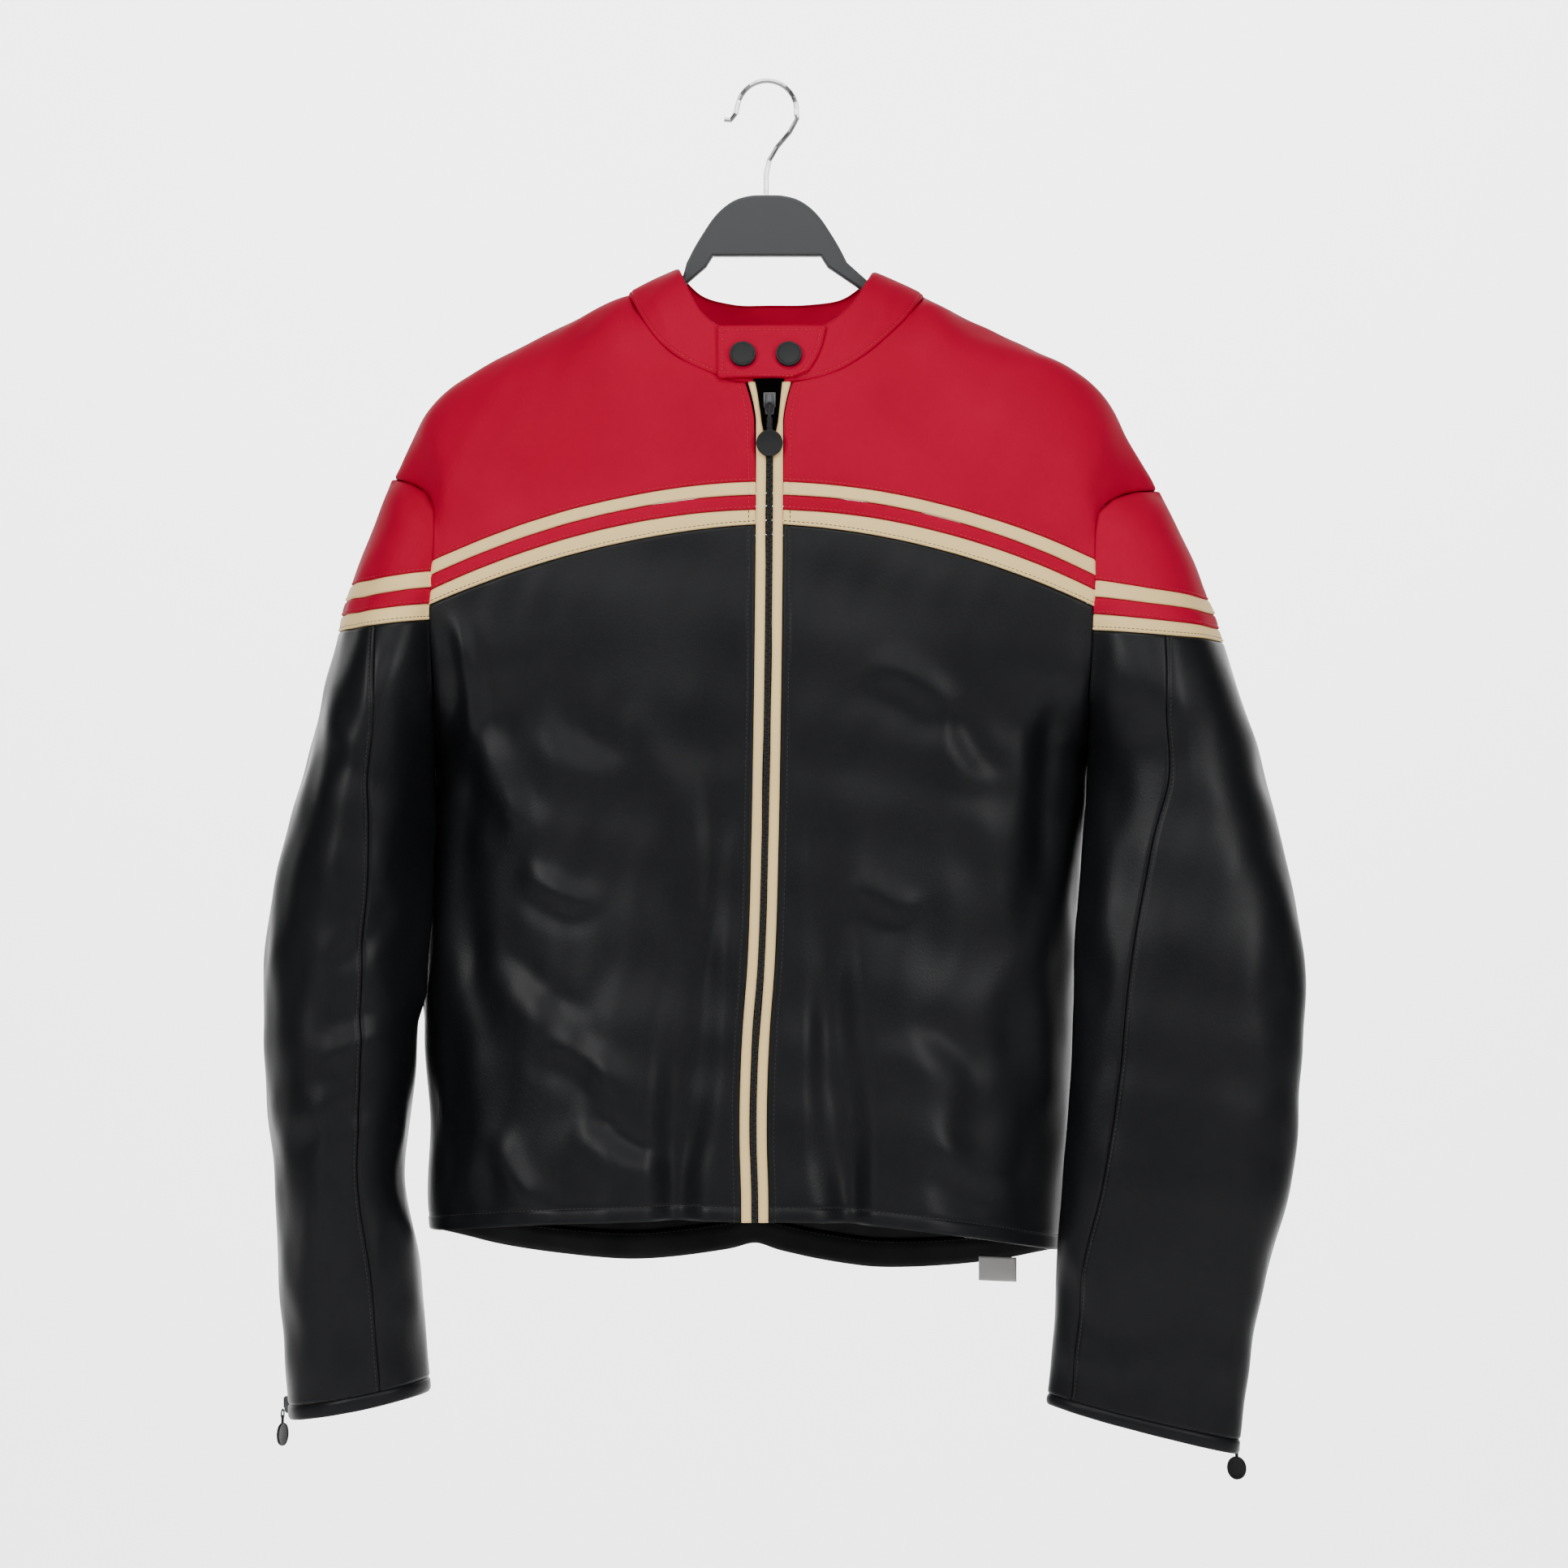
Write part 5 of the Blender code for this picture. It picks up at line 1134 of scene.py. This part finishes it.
# %% The snaps
hardware = []
for node_name in ("snap_outer", "snap_inner"):
    low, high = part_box(node_name)
    middle = (np.array(low) + np.array(high)) / 2 / MM
    out = tab_normals.reshape(-1, 3)[np.argmin(np.linalg.norm(tab_points - middle, axis=-1))]
    turn = Vector(out).to_track_quat("Z", "Y").to_matrix().to_4x4()
    settle([disc(node_name + "_cap", SNAP_RADIUS, SNAP_HEIGHT, 1.3)], node_name,
           Matrix.Translation(Vector((middle - out * SNAP_SUNK) * MM)) @ turn)
print("snaps:", SNAP_RADIUS * 2, "mm across")

# %% The sliders
def slider(name, size):
    """A slider faces +X: a body that narrows to its foot, with a raised bridge that carries the pull."""
    deep, wide, tall = size
    body = bar(name + "_body", (deep * 0.55, wide, tall), (-deep * 0.2, 0, 0), 0.7, 0.66)
    bridge = bar(name + "_bridge", (deep * 0.5, wide * 0.3, tall * 0.86), (deep * 0.22, 0, 0), 0.6, 0.8)
    cheeks = [bar(f"{name}_cheek_{k}", (deep * 0.8, wide * 0.16, tall * 0.62),
                  (-deep * 0.08, side * wide * 0.4, tall * 0.12), 0.5, 0.7) for k, side in enumerate((-1, 1))]
    return [body, bridge] + cheeks


TURNS = {"zip": -90, "cuff_right": 159.29, "cuff_left": 46.99}  # the way each zip faces, round Z
for node_name, size, which in (("zip_slider", SLIDER_SIZE, "zip"),
                               ("cuff_slider_right", CUFF_SLIDER_SIZE, "cuff_right"),
                               ("cuff_slider_left", CUFF_SLIDER_SIZE, "cuff_left")):
    low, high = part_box(node_name)
    turn = Matrix.Rotation(math.radians(TURNS[which]), 4, "Z")
    settle(slider(node_name + "_cast", size), node_name, Matrix.Translation((Vector(low) + Vector(high)) / 2) @ turn)
print("sliders and snaps:", len(hardware))

# %% The pulls
PULLS = (("zip_pull", (2.01, -73.62, -226), PULL_REACH, PULL_DISC_RADIUS, "zip"),
         ("cuff_pull_right", (-335.32, 13.48, -916.5), CUFF_PULL_REACH, CUFF_DISC_RADIUS, "cuff_right"),
         ("cuff_pull_left", (323.74, -3.48, -937.57), CUFF_PULL_REACH, CUFF_DISC_RADIUS, "cuff_left"))
for node_name, pivot, reach, radius, which in PULLS:
    link = ring(node_name + "_link", PULL_BAR / 2, 0.55, 1.5, (0, 0, 0.05 - PULL_BAR * 0.75))
    neck_foot = reach - radius * 0.75
    neck = bar(node_name + "_neck", (PULL_THICK * 0.8, PULL_BAR * 0.62, neck_foot - PULL_BAR * 0.85),
               (0, 0, -(neck_foot + PULL_BAR * 0.85) / 2), 0.4, 0.8)
    plate = disc(node_name + "_disc", radius, PULL_THICK, 1.1)
    plate.matrix_world = Matrix.Translation((0, 0, -reach * MM)) @ Matrix.Rotation(math.pi / 2, 4, "Y")
    apply_place(plate)
    turn = Matrix.Rotation(math.radians(TURNS[which]), 4, "Z")
    settle([plate, link, neck], node_name, Matrix.Translation(Vector(pivot) * MM) @ turn, node_name)
print("pulls:", len(PULLS))

# %% [markdown]
# ## Thread
# The stitches are short round-ended pieces of thread, each lying along its seam in the groove, a little apart.

# %% Stitches
STITCH_PITCH, STITCH_LONG, STITCH_THICK, STITCH_SIDES = 3.1, 2.3, 0.55, 5
around = (np.arange(STITCH_SIDES) * 2 * math.pi / STITCH_SIDES)[:, None]


def stitch_row(points, normals, vertices, faces):
    """Adds stitches along a line of points to lists of vertices and faces."""
    way = distances(points)
    if way[-1] < 2 * STITCH_PITCH:
        return
    spots = np.arange(STITCH_PITCH / 2, way[-1] - STITCH_PITCH / 2, STITCH_PITCH)
    outs = unit(read_line(normals, way, spots))
    along = unit(read_line(points, way, spots + 0.8) - read_line(points, way, spots - 0.8))
    outs = unit(outs - along * (outs * along).sum(axis=1, keepdims=True))
    centres = read_line(points, way, spots) + outs * 0.02
    for centre, a, o, b in zip(centres, along, outs, np.cross(along, outs)):
        ring = (np.cos(around) * o * 0.8 + np.sin(around) * b) * STITCH_THICK / 2
        start = len(vertices) * (2 * STITCH_SIDES + 2)
        end, round_end = a * STITCH_LONG / 2, a * STITCH_LONG * 0.32
        vertices.append(np.concatenate([[centre - end], ring + centre - round_end, ring + centre + round_end,
                                        [centre + end]]))
        for i in range(start + 1, start + 1 + STITCH_SIDES):
            j = i + 1 if i < start + STITCH_SIDES else start + 1
            faces += [(start, i, j), (i, i + STITCH_SIDES, j + STITCH_SIDES, j),
                      (start + 2 * STITCH_SIDES + 1, j + STITCH_SIDES, i + STITCH_SIDES)]


threads = {}
for colour, lines in thread_lines.items():
    vertices, faces = [], []
    for points, normals in lines:
        stitch_row(points, normals, vertices, faces)
    threads[colour] = mesh_of(f"thread_{colour}", np.concatenate(vertices), faces)
    print(colour, "stitches:", len(vertices))

# %% [markdown]
# ## Finishes
# All the leathers share one effect: fine pebbled grain, slow changes of colour and gloss, and a slightly duller
# finish where the hide is rubbed. It is a node group, built once and used with each leather's own values.

# %% The leather effect
def add(tree, kind, values=(), **settings):
    """Adds a node, sets its properties, and gives each input a value or a link."""
    made = tree.nodes.new("ShaderNode" + kind)
    for key, value in settings.items():
        setattr(made, key, value)
    feed(tree, made, dict(values))
    return made


def feed(tree, made, values):
    for socket, value in values.items():
        if isinstance(value, bpy.types.NodeSocket):
            tree.links.new(value, made.inputs[socket])
        else:
            made.inputs[socket].default_value = value


def add_math(tree, operation, a, b):
    return add(tree, "Math", {0: a, 1: b}, operation=operation).outputs[0]


def add_blend(tree, share, first, second):
    """A colour between two, by share. Sockets 6 and 7 are the node's two colours."""
    return add(tree, "Mix", {"Factor": share, 6: first, 7: second}, data_type="RGBA").outputs[2]


def add_range(tree, value, from_low, from_high, low, high):
    return add(tree, "MapRange", {"Value": value, 1: from_low, 2: from_high, 3: low, 4: high}).outputs[0]


leather = bpy.data.node_groups.new("leather_grain", "ShaderNodeTree")
SOCKETS = {"INPUT": {"Colour": "Color", "Worn colour": "Color", "Grain size": "Float", "Roughness": "Float",
                     "Depth": "Float"},
           "OUTPUT": {"Colour": "Color", "Roughness": "Float", "Normal": "Vector"}}
for way, sockets in SOCKETS.items():
    for socket, kind in sockets.items():
        leather.interface.new_socket(socket, in_out=way, socket_type="NodeSocket" + kind)
given, result = leather.nodes.new("NodeGroupInput").outputs, leather.nodes.new("NodeGroupOutput")
where = add(leather, "TexCoord").outputs["Object"]
scale = add_math(leather, "DIVIDE", 1000.0, given["Grain size"])
cells = add(leather, "TexVoronoi", {"Vector": where, "Scale": scale, "Smoothness": 0.6}, feature="SMOOTH_F1")
fine = add(leather, "TexNoise", {"Vector": where, "Scale": add_math(leather, "MULTIPLY", scale, 0.55), "Detail": 3})
slow = add(leather, "TexNoise", {"Vector": where, "Scale": 9, "Detail": 4})
cloudy = add(leather, "TexNoise", {"Vector": where, "Scale": 34, "Detail": 5})
height = add_math(leather, "ADD", add_math(leather, "MULTIPLY", cells.outputs["Distance"], -0.6),
                  add_math(leather, "MULTIPLY", fine.outputs["Fac"], 0.7))
bump = add(leather, "Bump", {"Distance": 0.00016, "Strength": given["Depth"], "Height": height})
rubbed = add_range(leather, slow.outputs["Fac"], 0.35, 0.7, 0, 0.55)
uneven = add_math(leather, "MULTIPLY", add_math(leather, "SUBTRACT", cloudy.outputs["Fac"], 0.5), 0.16)
feed(leather, result, {"Normal": bump.outputs["Normal"],
                       "Colour": add_blend(leather, rubbed, given["Colour"], given["Worn colour"]),
                       "Roughness": add_math(leather, "ADD", given["Roughness"], uneven)})
print("leather effect has", len(leather.nodes), "nodes")

# %% The leathers
LINING = (0.006, 0.006, 0.007, 1)
# A brighter red than the leather's own, for the collar's inner faces: painted light, standing in for the light that the
# hanger and the front collar keep off it.
COLLAR_INSIDE_PAINTED_LIGHT = (0.7, 0.002, 0.045, 1)


def new_material(name):
    """A material, its node tree and its shader."""
    made = bpy.data.materials.new(name)
    made.use_nodes = True
    return made, made.node_tree, made.node_tree.nodes["Principled BSDF"]


# The last colour goes on a piece's inner faces: the black lining, and on the collar a lighter red that is painted
# light.
def leather_material(name, colour, worn, roughness, grain, depth, shine, inside_colour=LINING):
    made, tree, shader = new_material(name)
    effect = tree.nodes.new("ShaderNodeGroup")
    effect.node_tree = leather
    feed(tree, effect, {"Colour": (*colour, 1), "Worn colour": (*worn, 1), "Grain size": grain,
                        "Roughness": roughness, "Depth": depth})
    inside = add(tree, "Attribute", attribute_name="inside").outputs["Fac"]
    feed(tree, shader, {"Base Color": add_blend(tree, inside, effect.outputs["Colour"], inside_colour),
                        "Roughness": effect.outputs["Roughness"], "Normal": effect.outputs["Normal"],
                        "Specular IOR Level": shine})
    return made


RED_LOOK = (0.36, 0.0, 0.022), (0.45, 0.001, 0.034), 0.6, 1.2, 0.3, 0.04
finishes = {
    "red_leather": leather_material("red leather", *RED_LOOK),
    "black_leather": leather_material("black leather", (0.0042, 0.0046, 0.0055), (0.008, 0.0085, 0.0095), 0.4, 1.3,
                                      0.4, 0.19),
    "cream_leather": leather_material("cream leather", (0.92, 0.66, 0.29), (0.8, 0.57, 0.26), 0.58, 1.4, 0.4, 0.2),
}
# The collar and its tab: red leather whose inner faces are painted lighter, as painted light.
collar_red_painted_light = leather_material("collar leather with painted light inside", *RED_LOOK, COLLAR_INSIDE_PAINTED_LIGHT)
for piece, points, finish in sheets:
    piece.data.materials.append(collar_red_painted_light if "collar" in piece.name else finishes[finish])
print("leathers:", ", ".join(finishes))

# %% Plain finishes for metal, plastic and cloth
def plain_material(name, colour, roughness, grain, metallic=0.0, bump_depth=0.00005, shine=0.5):
    made, tree, shader = new_material(name)
    where = add(tree, "TexCoord").outputs["Object"]
    noise = add(tree, "TexNoise", {"Vector": where, "Scale": 1000 / grain, "Detail": 4}).outputs["Fac"]
    dark, pale = ((*[min(c * times, 1) for c in colour], 1) for times in (0.85, 1.15))
    bump = add(tree, "Bump", {"Strength": 0.4, "Distance": bump_depth, "Height": noise})
    feed(tree, shader, {"Metallic": metallic, "Specular IOR Level": shine, "Normal": bump.outputs["Normal"],
                        "Base Color": add_blend(tree, noise, dark, pale),
                        "Roughness": add_range(tree, noise, 0.3, 0.7, roughness - 0.06, roughness + 0.06)})
    return made


def refinish(pieces, material):
    for piece in pieces:
        piece.data.materials.clear()
        piece.data.materials.append(material)


metal = plain_material("black enamelled metal", (0.008, 0.0083, 0.009), 0.5, 1.5, shine=0.25)
refinish(hardware + teeth, metal)
refinish([piece for piece in hardware if "slider" in piece.name],
         plain_material("grey cast metal", (0.075, 0.078, 0.082), 0.34, 1.5, 0.4))
refinish(tapes, plain_material("black zip tape", (0.012, 0.012, 0.013), 0.7, 0.6, bump_depth=0.0001))
refinish([label], plain_material("pale woven label", (0.55, 0.54, 0.52), 0.8, 0.5, bump_depth=0.0001))
refinish([threads["red"]], plain_material("red thread", (0.42, 0.006, 0.02), 0.55, 0.4))
refinish([threads["black"]], plain_material("black thread", (0.012, 0.012, 0.013), 0.5, 0.4))
refinish([threads["cream"]], plain_material("cream thread", (0.7, 0.58, 0.42), 0.6, 0.4))
refinish([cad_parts["hanger"]], plain_material("dark grey plastic", (0.034, 0.037, 0.039), 0.5, 0.8))
refinish([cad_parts["hanger_hook"]], plain_material("plated wire", (0.36, 0.36, 0.37), 0.2, 3, 1.0))
print("plain finishes set")

# %% [markdown]
# ## Cloth facts
# Each sheet of leather but the bindings is measured for the size it was cut to, across and down. A stripe on
# the front is cut flat and sewn in; round the arm it is a ring.

# %% Measuring the sheets
for piece, points, finish in sheets:
    if "binding" not in piece.name:
        a, b, c, d = points[:-1, :-1], points[1:, :-1], points[1:, 1:], points[:-1, 1:]
        width, length = lengths(points, 1)[:, -1].max() * MM, lengths(points, 0)[-1].max() * MM
print("sheets declared:", len(sheets))

# %% [markdown]
# ## Light
# The photograph has soft light from above and in front, on white. Large soft lamps and a white sweep behind give
# the same broad, gentle highlights on the leather.

# %% Sweep and lamps
FLOOR_Z, FLOOR_FRONT, BEND_Y, BEND, WALL_TOP, HALF_WIDTH = -1.6, -6.0, 3.0, 1.2, 4.0, 7
profile = [(BEND_Y + BEND * math.sin(a), FLOOR_Z + BEND - BEND * math.cos(a)) for a in np.linspace(0, math.pi / 2, 12)]
profile = [(FLOOR_FRONT, FLOOR_Z), *profile, (BEND_Y + BEND, WALL_TOP)]
sweep_mesh = bpy.data.meshes.new("sweep")
sweep_mesh.from_pydata([(x, y, z) for y, z in profile for x in (-HALF_WIDTH, HALF_WIDTH)], [],
                       [(2 * i, 2 * i + 1, 2 * i + 3, 2 * i + 2) for i in range(len(profile) - 1)])
sweep_mesh.shade_smooth()
new_object("sweep", sweep_mesh)
paper, tree, shader = new_material("white paper")
feed(tree, shader, {"Base Color": (0.95, 0.95, 0.95, 1), "Roughness": 0.9})
sweep_mesh.materials.append(paper)
for name, place, aim, size, power in (
        ("overhead", (0.0, -1.7, 2.0), (0, 0, -0.5), (2.2, 1.0), 50),
        ("front left", (-2.2, -2.7, 0.7), (0, 0, -0.5), (0.9, 1.6), 56),
        ("front right", (2.5, -2.6, 0.4), (0, 0, -0.5), (0.8, 1.6), 46),
        ("front fill", (0.2, -3.4, 0.5), (0, 0, -0.4), (2.4, 1.2), 30),
        ("sweep light", (0.0, 1.1, 1.3), (0, 4.5, 0.1), (6.0, 1.2), 620)):
    light = bpy.data.lights.new(name, "AREA")
    light.shape = "RECTANGLE"
    light.size, light.size_y = size
    light.energy = power
    lamp = new_object(name, light)
    lamp.location = place
    lamp.rotation_euler = (Vector(aim) - Vector(place)).to_track_quat("-Z", "Y").to_euler()
world = bpy.data.worlds.new("soft room")
world.use_nodes = True
feed(world.node_tree, world.node_tree.nodes["Background"], {0: (1, 1, 1, 1), 1: 0.06})
bpy.context.scene.world = world
print("lights:", len(bpy.data.lights))
